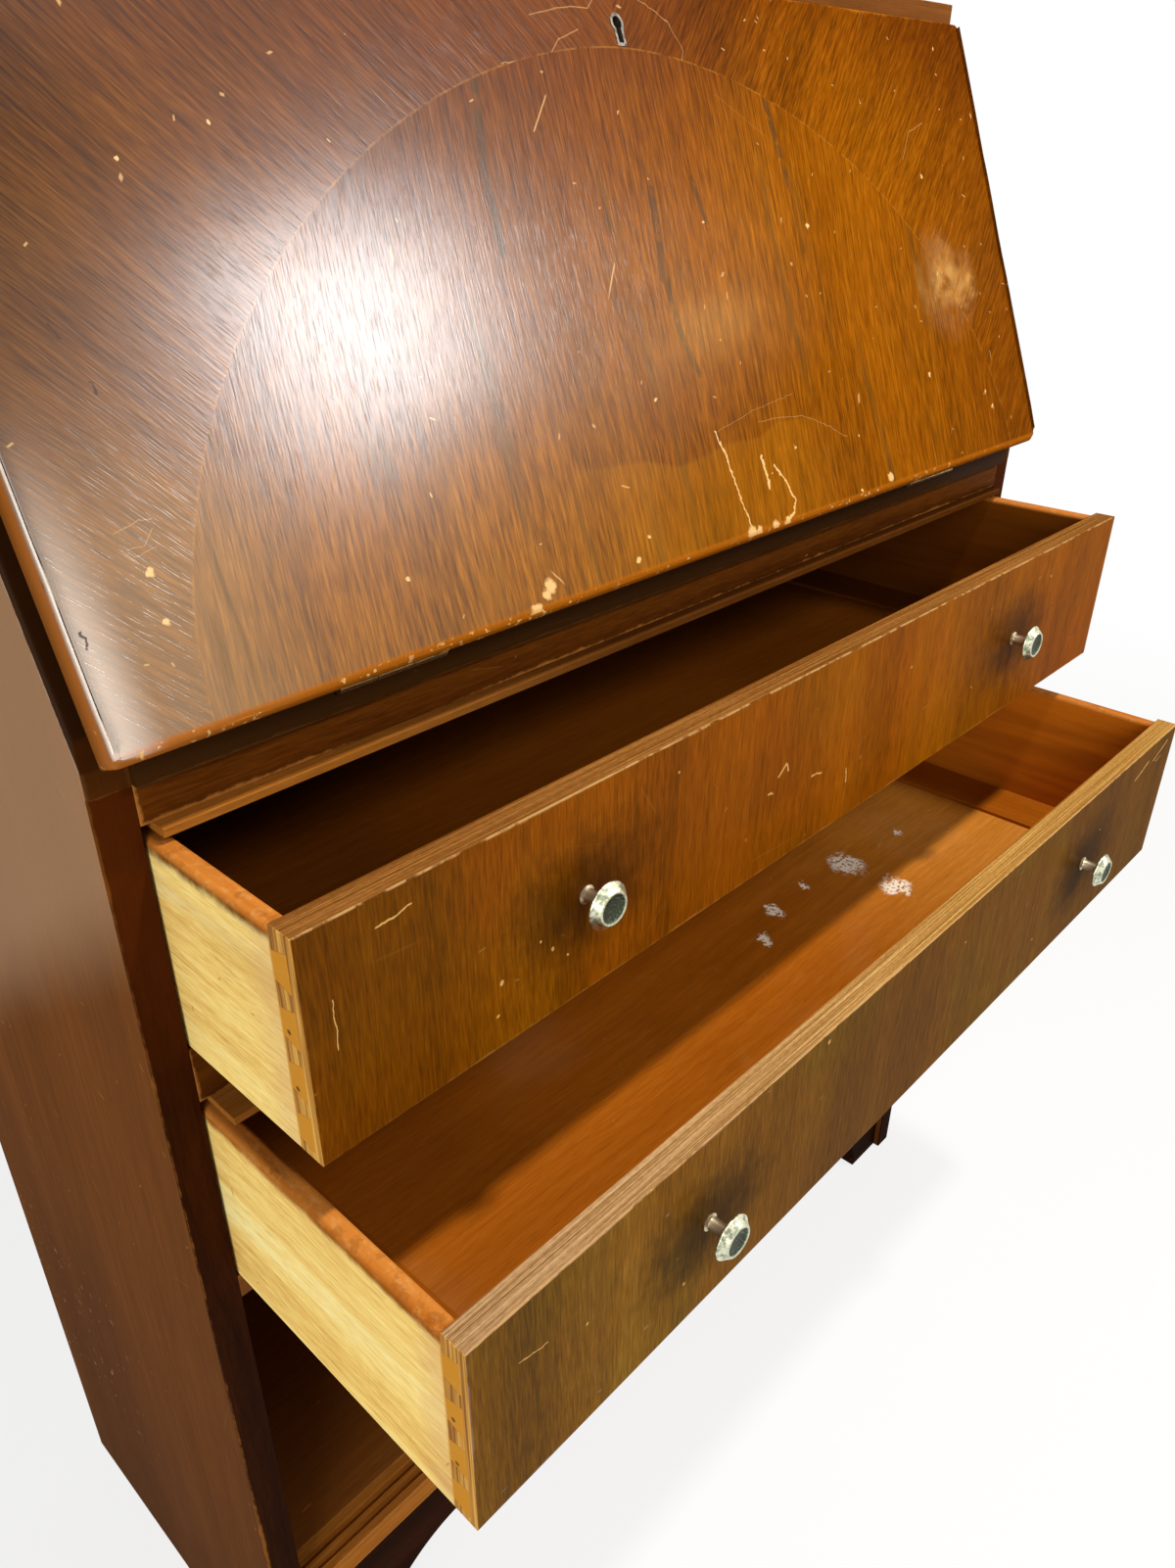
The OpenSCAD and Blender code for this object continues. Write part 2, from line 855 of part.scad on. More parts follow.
// Arch outline in X and up the slope, its foot on the lower edge of the fall
module arch_outline() {
    polygon(concat([[arch_half, 0]], [for (i = [0 : arch_steps])
        let (a = 90 * (2 * i / arch_steps - 1), c = cos(a), s = sin(a))
            [-sign(s) * arch_half * pow(abs(s), 2 / arch_fullness), arch_height * pow(abs(c), 2 / arch_fullness)]],
        [[-arch_half, 0]]));
}

module veneer_layer() {
    translate([0, 0, fall_thickness - veneer_thickness])
        linear_extrude(veneer_thickness)
            children();
}

module veneer_arch() {
    color([0.5, 0.27, 0.12])
        in_row()
            on_fall()
                veneer_layer()
                    arch_outline();
}

// Veneer leaf beside the arch on the right; the left one is its mirror image
module spandrel() {
    difference() {
        veneer_layer()
            difference() {
                square([fall_half, fall_length]);
                arch_outline();
            }
        keyhole_cut(keyhole_wall, 0, fall_thickness + 1);
    }
}

module veneer_left() {
    color([0.46, 0.24, 0.11])
        in_row()
            on_fall()
                mirror([1, 0, 0])
                    spandrel();
}

module veneer_right() {
    color([0.46, 0.24, 0.11])
        in_row()
            on_fall()
                spandrel();
}

module keyhole_liner() {
    color(steel)
        in_row()
            on_fall()
                difference() {
                    keyhole_cut(keyhole_wall, fall_thickness - 6, fall_thickness + 0.3);
                    keyhole_cut(0, 0, fall_thickness + 1);
                }
}

// Lock

module lock_case() {
    color(brass)
        in_row()
            on_fall()
                difference() {
                    union() {
                        box([-lock_width / 2, fall_length - lock_height, 0], [lock_width / 2, fall_length - 2, lock_depth]);
                        box([-lock_width / 2 - 7, fall_length - 2, 0],
                            [lock_width / 2 + 7, fall_length, lock_depth + 2]);
                    }
                    box([-lock_width / 2 + 1.5, fall_length - lock_height + 1.5, 1.5],
                        [lock_width / 2 - 1.5, fall_length - 2, lock_depth - 1.5]);
                    box([-bolt_width / 2 - run_gap, fall_length - 3, bolt_centre - bolt_thickness / 2 - run_gap],
                        [bolt_width / 2 + run_gap, fall_length + 1, bolt_centre + bolt_thickness / 2 + run_gap]);
                    keyhole_cut(0, lock_depth - 2, lock_depth + 1);
                }
}

module lock_bolt() {
    color(brass)
        in_row()
            on_fall()
                difference() {
                    box([-bolt_width / 2, fall_length - lock_height + 3, bolt_centre - bolt_thickness / 2],
                        [bolt_width / 2, fall_length, bolt_centre + bolt_thickness / 2]);
                    at_keyhole()
                        translate([0, -3, 0])
                            linear_extrude(lock_depth)
                                square([10, 10], center = true);
                }
}

// Space swept by the bolt on its way into the top board
module bolt_way() {
    on_fall()
        box([-bolt_width / 2 - run_gap, fall_length - 2, bolt_centre - bolt_thickness / 2 - run_gap],
            [bolt_width / 2 + run_gap, fall_length + bolt_throw + 2, bolt_centre + bolt_thickness / 2 + run_gap]);
}

striker_length = 40;
striker_thickness = 1.2;

module striker_plate(extra) {
    box([-striker_length / 2, top_front + 1.5, top_underside - extra],
        [striker_length / 2, top_front + 17, top_underside + striker_thickness]);
}

module lock_striker() {
    color(brass)
        in_row()
            difference() {
                striker_plate(0);
                bolt_way();
            }
}

// Drawers

tail_lap = 4;
tail_count = 4;

// Tails of a drawer side as outlines in Y and Z, pointing into the front
module tails(bottom, height) {
    pitch = height / tail_count;
    for (i = [0 : tail_count - 1])
        translate([0, bottom + (i + 0.5) * pitch])
            polygon([[front_thickness + 0.01, -pitch * 0.26], [front_thickness + 0.01, pitch * 0.26],
                [tail_lap, pitch * 0.36], [tail_lap, -pitch * 0.36]]);
}

// Right-hand drawer side standing with its front at Y = 0; mirrored for the left
module drawer_side_board(bottom, front_height) {
    height = front_height - side_drop;
    round = drawer_side * 0.3;
    difference() {
        union() {
            translate([drawer_half - drawer_side, drawer_depth, bottom])
                rotate([90, 0, 0])
                    linear_extrude(drawer_depth - front_thickness)
                        union() {
                            square([drawer_side, height - round]);
                            translate([round, height - round])
                                circle(r = round, $fn = 24);
                            translate([drawer_side - round, height - round])
                                circle(r = round, $fn = 24);
                            translate([round, height - round])
                                square([drawer_side - 2 * round, round]);
                        }
            across(drawer_half - drawer_side, drawer_half)
                tails(bottom, height - round);
        }
        translate([drawer_half - drawer_side - 1, -1, bottom + bottom_rise])
            cube([groove_depth + 1, drawer_depth + 2, drawer_bottom]);
    }
}

module drawer_front_board(bottom, height) {
    difference() {
        box([-drawer_half, 0, bottom], [drawer_half, front_thickness, bottom + height]);
        mirror_pair()
            across(drawer_half - drawer_side, drawer_half + 1)
                tails(bottom, height - side_drop - drawer_side * 0.3);
        box([-drawer_half + drawer_side - groove_depth, front_thickness - groove_depth, bottom + bottom_rise],
            [drawer_half - drawer_side + groove_depth, front_thickness + 1, bottom + bottom_rise + drawer_bottom]);
        knob_screw_set(bottom + height / 2);
    }
}

module drawer_back_board(bottom, height) {
    box([-drawer_half + drawer_side, drawer_depth - drawer_side - 6, bottom + bottom_rise + drawer_bottom],
        [drawer_half - drawer_side, drawer_depth - 6, bottom + height - side_drop - 4]);
}

module drawer_bottom_board(bottom) {
    box([-drawer_half + drawer_side - groove_depth, front_thickness - groove_depth, bottom + bottom_rise],
        [drawer_half - drawer_side + groove_depth, drawer_depth - 3, bottom + bottom_rise + drawer_bottom]);
}

module drawer_slip_pair(bottom) {
    mirror_pair()
        box([drawer_half - drawer_side - slip_width, front_thickness, bottom + bottom_rise + drawer_bottom],
            [drawer_half - drawer_side, drawer_depth - drawer_side - 6,
                bottom + bottom_rise + drawer_bottom + slip_thickness]);
}

// Knob profile: radius and distance out of the drawer front
module knob() {
    rim = knob_diameter / 2;
    stem = knob_stem_diameter / 2;
    ring = rim * 0.7;
    rotate([90, 0, 0])
        rotate_extrude($fn = 56)
            polygon([[2, 0], [stem + 1.4, 0], [stem + 1.2, 1.1], [stem, 1.6], [stem, knob_projection - 7],
                [stem + 1.5, knob_projection - 5.6], [rim - 0.6, knob_projection - 5.2],
                [rim, knob_projection - 4.7], [rim, knob_projection - 3.9], [ring + 0.7, knob_projection - 0.3],
                [ring, knob_projection], [ring - 0.9, knob_projection], [ring - 1.4, knob_projection - 0.5],
                [rim * 0.3, knob_projection - 1.5], [0, knob_projection - 1.7], [0, 9], [2, 9]]);
}

module knob_set(height) {
    mirror_pair()
        translate([knob_offset, 0, height])
            knob();
}

module knob_screw_set(height) {
    mirror_pair()
        translate([knob_offset, 0, height])
            rotate([90, 0, 0]) {
                translate([0, 0, -front_thickness])
                    cylinder(h = front_thickness + 8.5, r = 2, $fn = 24);
                translate([0, 0, -front_thickness - 2.4])
                    cylinder(h = 2.4, r = 4, $fn = 28);
            }
}

module upper_drawer_place() {
    in_row()
        translate([0, -upper_open, 0])
            children();
}

module lower_drawer_place() {
    in_row()
        translate([0, -lower_open, 0])
            children();
}

module upper_front() {
    color(walnut)
        upper_drawer_place()
            drawer_front_board(upper_bottom, upper_front_height);
}

module upper_left_side() {
    color(raw_wood)
        upper_drawer_place()
            mirror([1, 0, 0])
                drawer_side_board(upper_bottom, upper_front_height);
}

module upper_right_side() {
    color(raw_wood)
        upper_drawer_place()
            drawer_side_board(upper_bottom, upper_front_height);
}

module upper_back() {
    color(raw_wood)
        upper_drawer_place()
            drawer_back_board(upper_bottom, upper_front_height);
}

module upper_bottom_panel() {
    color([0.5, 0.26, 0.13])
        upper_drawer_place()
            drawer_bottom_board(upper_bottom);
}

module upper_slips() {
    color([0.5, 0.26, 0.13])
        upper_drawer_place()
            drawer_slip_pair(upper_bottom);
}

module upper_knobs() {
    color([0.66, 0.66, 0.52])
        upper_drawer_place()
            knob_set(upper_bottom + upper_front_height / 2);
}

module upper_knob_screws() {
    color(steel)
        upper_drawer_place()
            knob_screw_set(upper_bottom + upper_front_height / 2);
}

module lower_front() {
    color(walnut)
        lower_drawer_place()
            drawer_front_board(lower_bottom, lower_front_height);
}

module lower_left_side() {
    color(raw_wood)
        lower_drawer_place()
            mirror([1, 0, 0])
                drawer_side_board(lower_bottom, lower_front_height);
}

module lower_right_side() {
    color(raw_wood)
        lower_drawer_place()
            drawer_side_board(lower_bottom, lower_front_height);
}

module lower_back() {
    color(raw_wood)
        lower_drawer_place()
            drawer_back_board(lower_bottom, lower_front_height);
}

module lower_bottom_panel() {
    color([0.5, 0.26, 0.13])
        lower_drawer_place()
            drawer_bottom_board(lower_bottom);
}

module lower_slips() {
    color([0.5, 0.26, 0.13])
        lower_drawer_place()
            drawer_slip_pair(lower_bottom);
}

module lower_knobs() {
    color([0.66, 0.66, 0.52])
        lower_drawer_place()
            knob_set(lower_bottom + lower_front_height / 2);
}

module lower_knob_screws() {
    color(steel)
        lower_drawer_place()
            knob_screw_set(lower_bottom + lower_front_height / 2);
}

// Glass doors, both slid to the right

module glass_door(groove, grip_x) {
    door_y = groove + (door_groove - glass_thickness) / 2;
    grip_z = (glass_top + glass_bottom) / 2;
    difference() {
        box([inner_half - run_gap - door_width, door_y, glass_bottom],
            [inner_half - run_gap, door_y + glass_thickness, glass_top]);
        translate([grip_x, door_y + 0.8, 0])
            rotate([90, 0, 0])
                linear_extrude(2)
                    union() {
                        translate([-grip_width / 2, grip_z - grip_length / 2])
                            square([grip_width, grip_length]);
                        translate([0, grip_z - grip_length / 2])
                            circle(d = grip_width, $fn = 32);
                        translate([0, grip_z + grip_length / 2])
                            circle(d = grip_width, $fn = 32);
                    }
    }
}

module front_glass_door() {
    color([0.75, 0.88, 0.84, 0.35])
        in_row()
            glass_door(first_groove, inner_half - run_gap - grip_inset);
}

module rear_glass_door() {
    color([0.75, 0.88, 0.84, 0.35])
        in_row()
            glass_door(second_groove, inner_half - run_gap - door_width + grip_inset);
}

left_side();
right_side();
top_board();
back_panel();
back_screws();
stile_lippings();
desk_floor();
desk_rail();
pigeonhole_shelf();
pigeonhole_uprights();
upper_kicker();
divider_rail();
drawer_runners();
lower_kicker();
drawer_stops();
cupboard_top();
cupboard_floor();
door_rail();
plinth_front();
plinth_blocks();
floor_hinge_leaves();
hinge_pins();
stay_side_plates();
case_screws();
lock_striker();
fall_panel();
veneer_arch();
veneer_left();
veneer_right();
fall_hinge_leaves();
stay_fall_brackets();
fall_screws();
lock_case();
keyhole_liner();
lock_bolt();
left_rear_arm();
right_rear_arm();
left_front_arm();
right_front_arm();
upper_front();
upper_left_side();
upper_right_side();
upper_back();
upper_bottom_panel();
upper_slips();
upper_knobs();
upper_knob_screws();
lower_front();
lower_left_side();
lower_right_side();
lower_back();
lower_bottom_panel();
lower_slips();
lower_knobs();
lower_knob_screws();
front_glass_door();
rear_glass_door();
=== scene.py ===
import math

import bmesh
import bpy
from mathutils import Matrix, Vector, noise as clouds


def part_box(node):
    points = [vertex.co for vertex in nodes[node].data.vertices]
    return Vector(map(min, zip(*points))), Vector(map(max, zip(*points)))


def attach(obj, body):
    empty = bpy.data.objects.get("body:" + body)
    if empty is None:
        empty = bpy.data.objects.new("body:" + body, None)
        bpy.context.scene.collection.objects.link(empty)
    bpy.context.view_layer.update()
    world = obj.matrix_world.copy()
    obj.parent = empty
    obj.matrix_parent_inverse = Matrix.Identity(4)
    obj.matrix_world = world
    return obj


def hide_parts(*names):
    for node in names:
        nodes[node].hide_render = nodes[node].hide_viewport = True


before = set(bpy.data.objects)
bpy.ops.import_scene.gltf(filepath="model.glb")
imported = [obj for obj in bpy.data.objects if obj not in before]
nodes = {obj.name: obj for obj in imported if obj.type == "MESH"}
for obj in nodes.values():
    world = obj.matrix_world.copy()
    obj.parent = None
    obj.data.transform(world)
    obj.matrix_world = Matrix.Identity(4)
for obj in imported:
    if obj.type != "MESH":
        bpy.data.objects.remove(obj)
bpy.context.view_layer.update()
print("bureau loaded,", len(nodes), "pieces")

frontPlane = -0.05475       # Y of the front edges of the sides
deskLevel = 0.758           # height of the writing surface
slope = math.radians(67.5)  # slope of the shut fall
hingeLine = Vector((0, frontPlane - 0.0049706, deskLevel))  # its pins stand just in front of the sides
halfWidth = 0.381           # of the case
drawnOut = {"upper": 0.098, "lower": 0.178}  # how far each drawer stands open
knobOffset = 0.213          # from the middle of a drawer to each knob
fallSize = Vector((0.752, 0.2976643, 0.018))  # across, up the slope, thick


def newPiece(name, data):
    piece = bpy.data.objects.new(name, data)
    bpy.context.scene.collection.objects.link(piece)
    return piece


# Camera, at the place and angle of the photograph

cameraPlan = {
    "place": (-0.52347, frontPlane - 0.38980, 0.95934),
    "heading": 46.845,      # degrees to the right of straight in
    "dip": 28.931,          # degrees down
    "roll": 0.239,
    "focal": 1170.6,        # in pixels of the photograph
    "frameHeight": 1601,
}


def makeCamera(plan):
    heading, dip, roll = (math.radians(plan[k]) for k in ("heading", "dip", "roll"))
    ahead = Vector((math.sin(heading) * math.cos(dip), math.cos(heading) * math.cos(dip), -math.sin(dip)))
    level = Vector((math.cos(heading), -math.sin(heading), 0))
    upright = level.cross(ahead)
    across = level * math.cos(roll) + upright * math.sin(roll)
    upward = upright * math.cos(roll) - level * math.sin(roll)
    data = bpy.data.cameras.new("camera")
    data.sensor_width = 36
    data.lens = plan["focal"] / plan["frameHeight"] * 36
    data.clip_start, data.clip_end = 0.01, 60
    camera = newPiece("camera", data)
    turned = Matrix((across, upward, -ahead)).transposed().to_4x4()
    camera.matrix_world = Matrix.Translation(plan["place"]) @ turned
    bpy.context.scene.camera = camera


makeCamera(cameraPlan)
print("camera placed")


# Shader sums

class Wire:  # one socket of a finish, so that a sum on it is written as a sum
    def __init__(self, finish, socket):
        self.finish, self.socket = finish, socket

    def join(self, operation, *others):
        return self.finish.add("Math", {"operation": operation}, others)

    def __add__(self, other):
        return self.join("ADD", self, other)

    __radd__ = __add__

    def __sub__(self, other):
        return self.join("SUBTRACT", self, other)

    def __rsub__(self, other):
        return self.join("SUBTRACT", other, self)

    def __mul__(self, other):
        return self.join("MULTIPLY", self, other)

    __rmul__ = __mul__

    def __truediv__(self, other):
        return self.join("DIVIDE", self, other)

    def __abs__(self):
        return self.join("ABSOLUTE", self)


class Finish:  # a material or the world, with one way to add any node to it
    def __init__(self, owner):
        owner.use_nodes = True
        self.owner, self.tree = owner, owner.node_tree
        self.tree.nodes.clear()

    def add(self, kind, settings=None, inputs=(), out=0):
        node = self.tree.nodes.new("ShaderNode" + kind)
        for key, value in (settings or {}).items():
            if key == "stops":
                elements = node.color_ramp.elements
                while len(elements) < len(value):
                    elements.new(0.5)
                for element, (place, colour) in zip(elements, value):
                    element.position, element.color = place, (*colour, 1)
            else:
                setattr(node, key, value)
        for key, value in (inputs.items() if isinstance(inputs, dict) else enumerate(inputs)):
            if isinstance(value, Wire):
                self.tree.links.new(value.socket, node.inputs[key])
            elif value is not None:
                socket = node.inputs[key]
                socket.default_value = (*value, 1) if socket.type == "RGBA" and len(value) == 3 else value
        return Wire(self, node.outputs[out]) if len(node.outputs) else self.owner

    def spot(self):  # the place on the object, in metres
        return self.add("TexCoord", out="Object")

    def cover(self, shader, kind="OutputMaterial"):  # the last node, which hands over the material
        return self.add(kind, inputs={"Surface": shader})

    def parts(self, vector):
        node = self.add("SeparateXYZ", inputs=(vector,)).socket.node
        return [Wire(self, output) for output in node.outputs]

    def vector(self, x, y, z):
        return self.add("CombineXYZ", inputs=(x, y, z))

    def measure(self, operation, *vectors):  # a number from vectors, such as a length
        return self.add("VectorMath", {"operation": operation}, vectors, 1)

    def stretch(self, vector, size, shift):
        return self.add("Mapping", inputs={"Vector": vector, "Scale": size, "Location": shift})

    def seenFrom(self, vector, centre, turn):  # the same place in a moved and turned frame
        return self.add("Mapping", {"vector_type": "TEXTURE"},
                        {"Vector": vector, "Location": centre, "Rotation": turn})

    def noise(self, vector, size, detail=2, rough=0.5, shift=(0, 0, 0)):  # size as one number or as three
        size = size if isinstance(size, tuple) else (size, size, size)
        return self.add("TexNoise", inputs={"Vector": self.stretch(vector, size, shift), "Scale": 1,
                                            "Detail": detail, "Roughness": rough})

    def rise(self, value, low, high):  # smooth step from 0 to 1
        return self.add("MapRange", {"interpolation_type": "SMOOTHSTEP", "clamp": False},
                        (value, low, high, 0.0, 1.0))

    def drop(self, value, low, high):  # smooth step from 1 to 0
        return 1 - self.rise(value, low, high)

    def near(self, value, place, width):  # 1 at a place, 0 past the width on either side
        return self.drop(abs(value - place), width * 0.5, width)

    def reached(self, value, face):  # 1 on the face of a solid that looks toward larger values
        return self.rise(value, face - 0.0006, face - 0.0002)

    def least(self, a, b):
        return self.add("Math", {"operation": "MINIMUM"}, (a, b))

    def most(self, a, b):
        return self.add("Math", {"operation": "MAXIMUM"}, (a, b))

    def tint(self, mask, low, high, how="MIX"):
        return self.add("Mix", {"data_type": "RGBA", "blend_type": how}, {0: mask, 6: low, 7: high}, 2)

    def ramp(self, value, stops):
        return self.add("ValToRGB", {"stops": stops}, (value,))

    def paint(self, mask, shade):  # a colour over the finish so far
        self.colour = self.tint(mask, self.colour, shade)

    def stain(self, mask, shade):  # the finish so far, times a colour
        self.colour = self.tint(mask, self.colour, shade, "MULTIPLY")

    def bump(self, height, depth, strength, below=None):
        return self.add("Bump", inputs={"Height": height, "Distance": depth, "Strength": strength,
                                        "Normal": below})


def newFinish(name):
    return Finish(bpy.data.materials.new(name))


def edgeDistance(finish, spot, low, high):  # from a point on a board's face to its nearest arris
    gaps = [finish.least(part - low[i], high[i] - part) for i, part in enumerate(finish.parts(spot))]
    a, b, c = gaps  # the middle one of the three is the distance
    return finish.most(finish.least(a, b), finish.least(finish.most(a, b), c))


anyTurn = 6.3  # about a whole turn, in radians


def nicks(finish, spot, cells, length, width, share, seed):  # one mark in each cell, turned at random
    place = finish.stretch(spot, (1, 1, 1), seed)
    cell = finish.add("TexVoronoi", {"voronoi_dimensions": "3D", "feature": "F1"},
                      {"Vector": place, "Scale": cells, "Randomness": 1}).socket.node
    centre, chance = Wire(finish, cell.outputs["Position"]), Wire(finish, cell.outputs["Color"])
    local = finish.add("VectorMath", {"operation": "SUBTRACT"}, (place, centre))
    red, green, blue = finish.parts(chance)
    turns = finish.vector(red * anyTurn, blue * anyTurn, green * anyTurn)
    turned = finish.add("VectorRotate", {"rotation_type": "EULER_XYZ"}, {"Vector": local, "Rotation": turns})
    x, y = finish.parts(turned)[:2]
    thin = finish.drop(abs(y) / width, 0.4, 1.0)
    short = finish.drop(abs(x) / length, 0.5, 1.0)
    kept = finish.add("Math", {"operation": "GREATER_THAN"}, (green, 1 - share))
    return thin * short * kept


def marksAt(finish, flat, lines=(), places=()):
    # thin lines with their half widths, and round marks with their radii
    nearest = 9.0  # each gap is taken up at once, because a shader holds few values at a time
    for width, points in lines:
        for start, stop in zip(points, points[1:]):
            along = Vector((*stop, 0)) - Vector((*start, 0))
            local = finish.add("VectorMath", {"operation": "SUBTRACT"}, (flat, (*start, 0)))
            share = finish.measure("DOT_PRODUCT", local, along / along.length_squared)
            held = finish.least(finish.most(share, 0.0), 1.0)
            foot = finish.add("VectorMath", {"operation": "SCALE"}, {0: along, 3: held})
            nearest = finish.least(nearest, finish.measure("DISTANCE", local, foot) / width)
    for x, y, radius in places:
        nearest = finish.least(nearest, finish.measure("DISTANCE", flat, (x, y, 0)) / radius)
    return finish.drop(nearest, 0.55, 1.0)


# Wood: colours from dark to light, bands in a metre, how much flecks, bands, streaks and pores tell,
# colour of streaks and pores, roughness (gloss) and share of the polish (shine)

woods = {
    "fall": {
        "stops": [(0.30, (0.100, 0.029, 0.0012)), (0.44, (0.175, 0.050, 0.0012)),
                  (0.55, (0.232, 0.067, 0.0012)), (0.70, (0.315, 0.100, 0.003))],
        "bands": 30, "flecks": 0.75, "swing": 0.36, "streaks": 0.12, "pores": 0.40,
        "dark": (0.060, 0.026, 0.004), "gloss": 0.212, "fibres": 0.46, "fine": 1.8,
    },
    "case": {
        "stops": [(0.32, (0.105, 0.034, 0.006)), (0.5, (0.150, 0.050, 0.008)),
                  (0.68, (0.200, 0.070, 0.013))],
        "bands": 18, "flecks": 0.20, "swing": 0.45, "streaks": 0.12, "pores": 0.15,
        "dark": (0.060, 0.022, 0.006), "gloss": 0.36, "shine": 0.16,
    },
    "front": {
        "stops": [(0.30, (0.130, 0.036, 0.001)), (0.43, (0.205, 0.052, 0.001)),
                  (0.55, (0.270, 0.070, 0.001)), (0.70, (0.350, 0.098, 0.003))],
        "bands": 22, "flecks": 0.60, "swing": 0.45, "streaks": 0.14, "pores": 0.28,
        "dark": (0.085, 0.034, 0.003), "gloss": 0.34, "shine": 0.14,
    },
    "dark": {
        "stops": [(0.32, (0.018, 0.005, 0.0015)), (0.5, (0.036, 0.009, 0.002)),
                  (0.68, (0.065, 0.016, 0.003))],
        "bands": 24, "flecks": 0.30, "swing": 0.8, "streaks": 0.3, "pores": 0.2,
        "dark": (0.008, 0.003, 0.001), "gloss": 0.34, "shine": 0.06,
    },
    # rail: darkened partly as painted shade, for the shade the rails lie in under the fall
    "rail": {
        "stops": [(0.32, (0.045, 0.012, 0.0015)), (0.5, (0.088, 0.023, 0.002)),
                  (0.68, (0.140, 0.040, 0.004))],
        "bands": 60, "flecks": 0.40, "swing": 0.8, "streaks": 0.3, "pores": 0.3,
        "dark": (0.030, 0.011, 0.002), "gloss": 0.40, "shine": 0.12,
    },
    "raw": {
        "stops": [(0.33, (0.650, 0.385, 0.105)), (0.44, (0.840, 0.570, 0.165)),
                  (0.55, (0.930, 0.710, 0.240)), (0.68, (0.970, 0.840, 0.390))],
        "bands": 30, "flecks": 0.40, "swing": 0.85, "streaks": 0.35, "pores": 0.35,
        "dark": (0.460, 0.200, 0.040), "gloss": 0.60, "shine": 0.12, "blot": 0.10,
    },
    "stain": {
        "stops": [(0.32, (0.250, 0.062, 0.003)), (0.5, (0.345, 0.090, 0.004)),
                  (0.68, (0.430, 0.125, 0.009))],
        "bands": 14, "flecks": 0.30, "swing": 0.35, "streaks": 0.12, "pores": 0.22,
        "dark": (0.150, 0.042, 0.004), "gloss": 0.45, "shine": 0.12,
    },
    "pale": {
        "stops": [(0.32, (0.210, 0.070, 0.008)), (0.5, (0.300, 0.105, 0.014)),
                  (0.68, (0.400, 0.160, 0.030))],
        "bands": 36, "flecks": 0.30, "swing": 0.7, "streaks": 0.2, "pores": 0.3,
        "dark": (0.110, 0.045, 0.010), "gloss": 0.55, "shine": 0.10,
    },
}

wornEdge = (0.40, 0.155, 0.030)     # polish rubbed through
bareChip = (0.70, 0.44, 0.17)       # bare wood in a chip
polishTint = (1.0, 0.87, 0.74, 1)   # old polish warms what it reflects

boardMarks = {  # cells in a metre, length, half width, share of the cells and seed
    "long": (22, 0.013, 0.00035, 0.3, (1.3, 2.2, 0.7)),
    "short": (55, 0.0016, 0.0006, 0.1, (4.1, 0.3, 1.9)),
}
figurePlan = {  # sizes of the noise along, across and through the grain
    "wander": (2.6, 7, 7), "fibres": (9, 300, 300), "flecks": (70, 850, 850), "pores": (75, 1500, 1500),
    "streaks": (1.1, 17, 17), "bands": 0.9,
    "sway": 0.028,  # how far the bands sway to the side
}


def grainFrame(finish, spot, axis):  # turns a place so that X runs along the grain
    if isinstance(axis, str):
        x, y, z = finish.parts(spot)
        return finish.vector(*{"x": (x, y, z), "y": (y, x, z), "z": (z, x, y)}[axis])
    return finish.seenFrom(spot, (0, 0, 0), (0, 0, math.radians(axis)))


def woodFigure(finish, grain, look, seed):  # gives the finish its colour and fine height
    grain = finish.stretch(grain, (1, 1, 1), seed)
    along, across, deep = finish.parts(grain)
    wander = finish.noise(grain, figurePlan["wander"])
    base = finish.vector(along, across + (wander - 0.5) * figurePlan["sway"], deep)
    bands = finish.noise(base, (figurePlan["bands"], look["bands"], look["bands"]), 3, 0.6)
    fibres = finish.noise(base, tuple(size * look.get("fine", 1.0) for size in figurePlan["fibres"]), 3, 0.6)
    flecks = finish.noise(base, figurePlan["flecks"], 2, 0.6, (0.7, 0.3, 0))
    pores = finish.rise(finish.noise(base, figurePlan["pores"], 1), 0.56, 0.72)
    tone = 0.5 + (bands - 0.5) * look["swing"] + (fibres - 0.5) * look.get("fibres", 0.30)
    finish.colour = finish.ramp(tone + (flecks - 0.5) * look["flecks"], look["stops"])
    streaks = finish.rise(finish.noise(base, figurePlan["streaks"], 3, 0.6, (3.1, 1.7, 0)), 0.57, 0.72)
    finish.paint(streaks * look["streaks"], look["dark"])
    finish.paint(pores * look["pores"], look["dark"])
    finish.height = fibres * 0.6 + flecks * 1.3 - pores * 0.5


def raggedEdge(finish, spot):  # breaks up the edge of a mask
    return finish.noise(spot, 110, 3, 0.65)


def polish(finish, normal, level=0.3, tint=polishTint):
    # a dull body under a shine that varies from place to place
    body = {"Base Color": finish.colour, "Normal": normal}
    gloss = finish.add("BsdfPrincipled", inputs={
        **body, "Roughness": finish.rough, "Specular IOR Level": level, "Specular Tint": tint})
    dull = finish.add("BsdfPrincipled", inputs={**body, "Roughness": 0.8, "Specular IOR Level": 0.0})
    return finish.cover(finish.add("MixShader", inputs=(finish.shine, dull, gloss)))


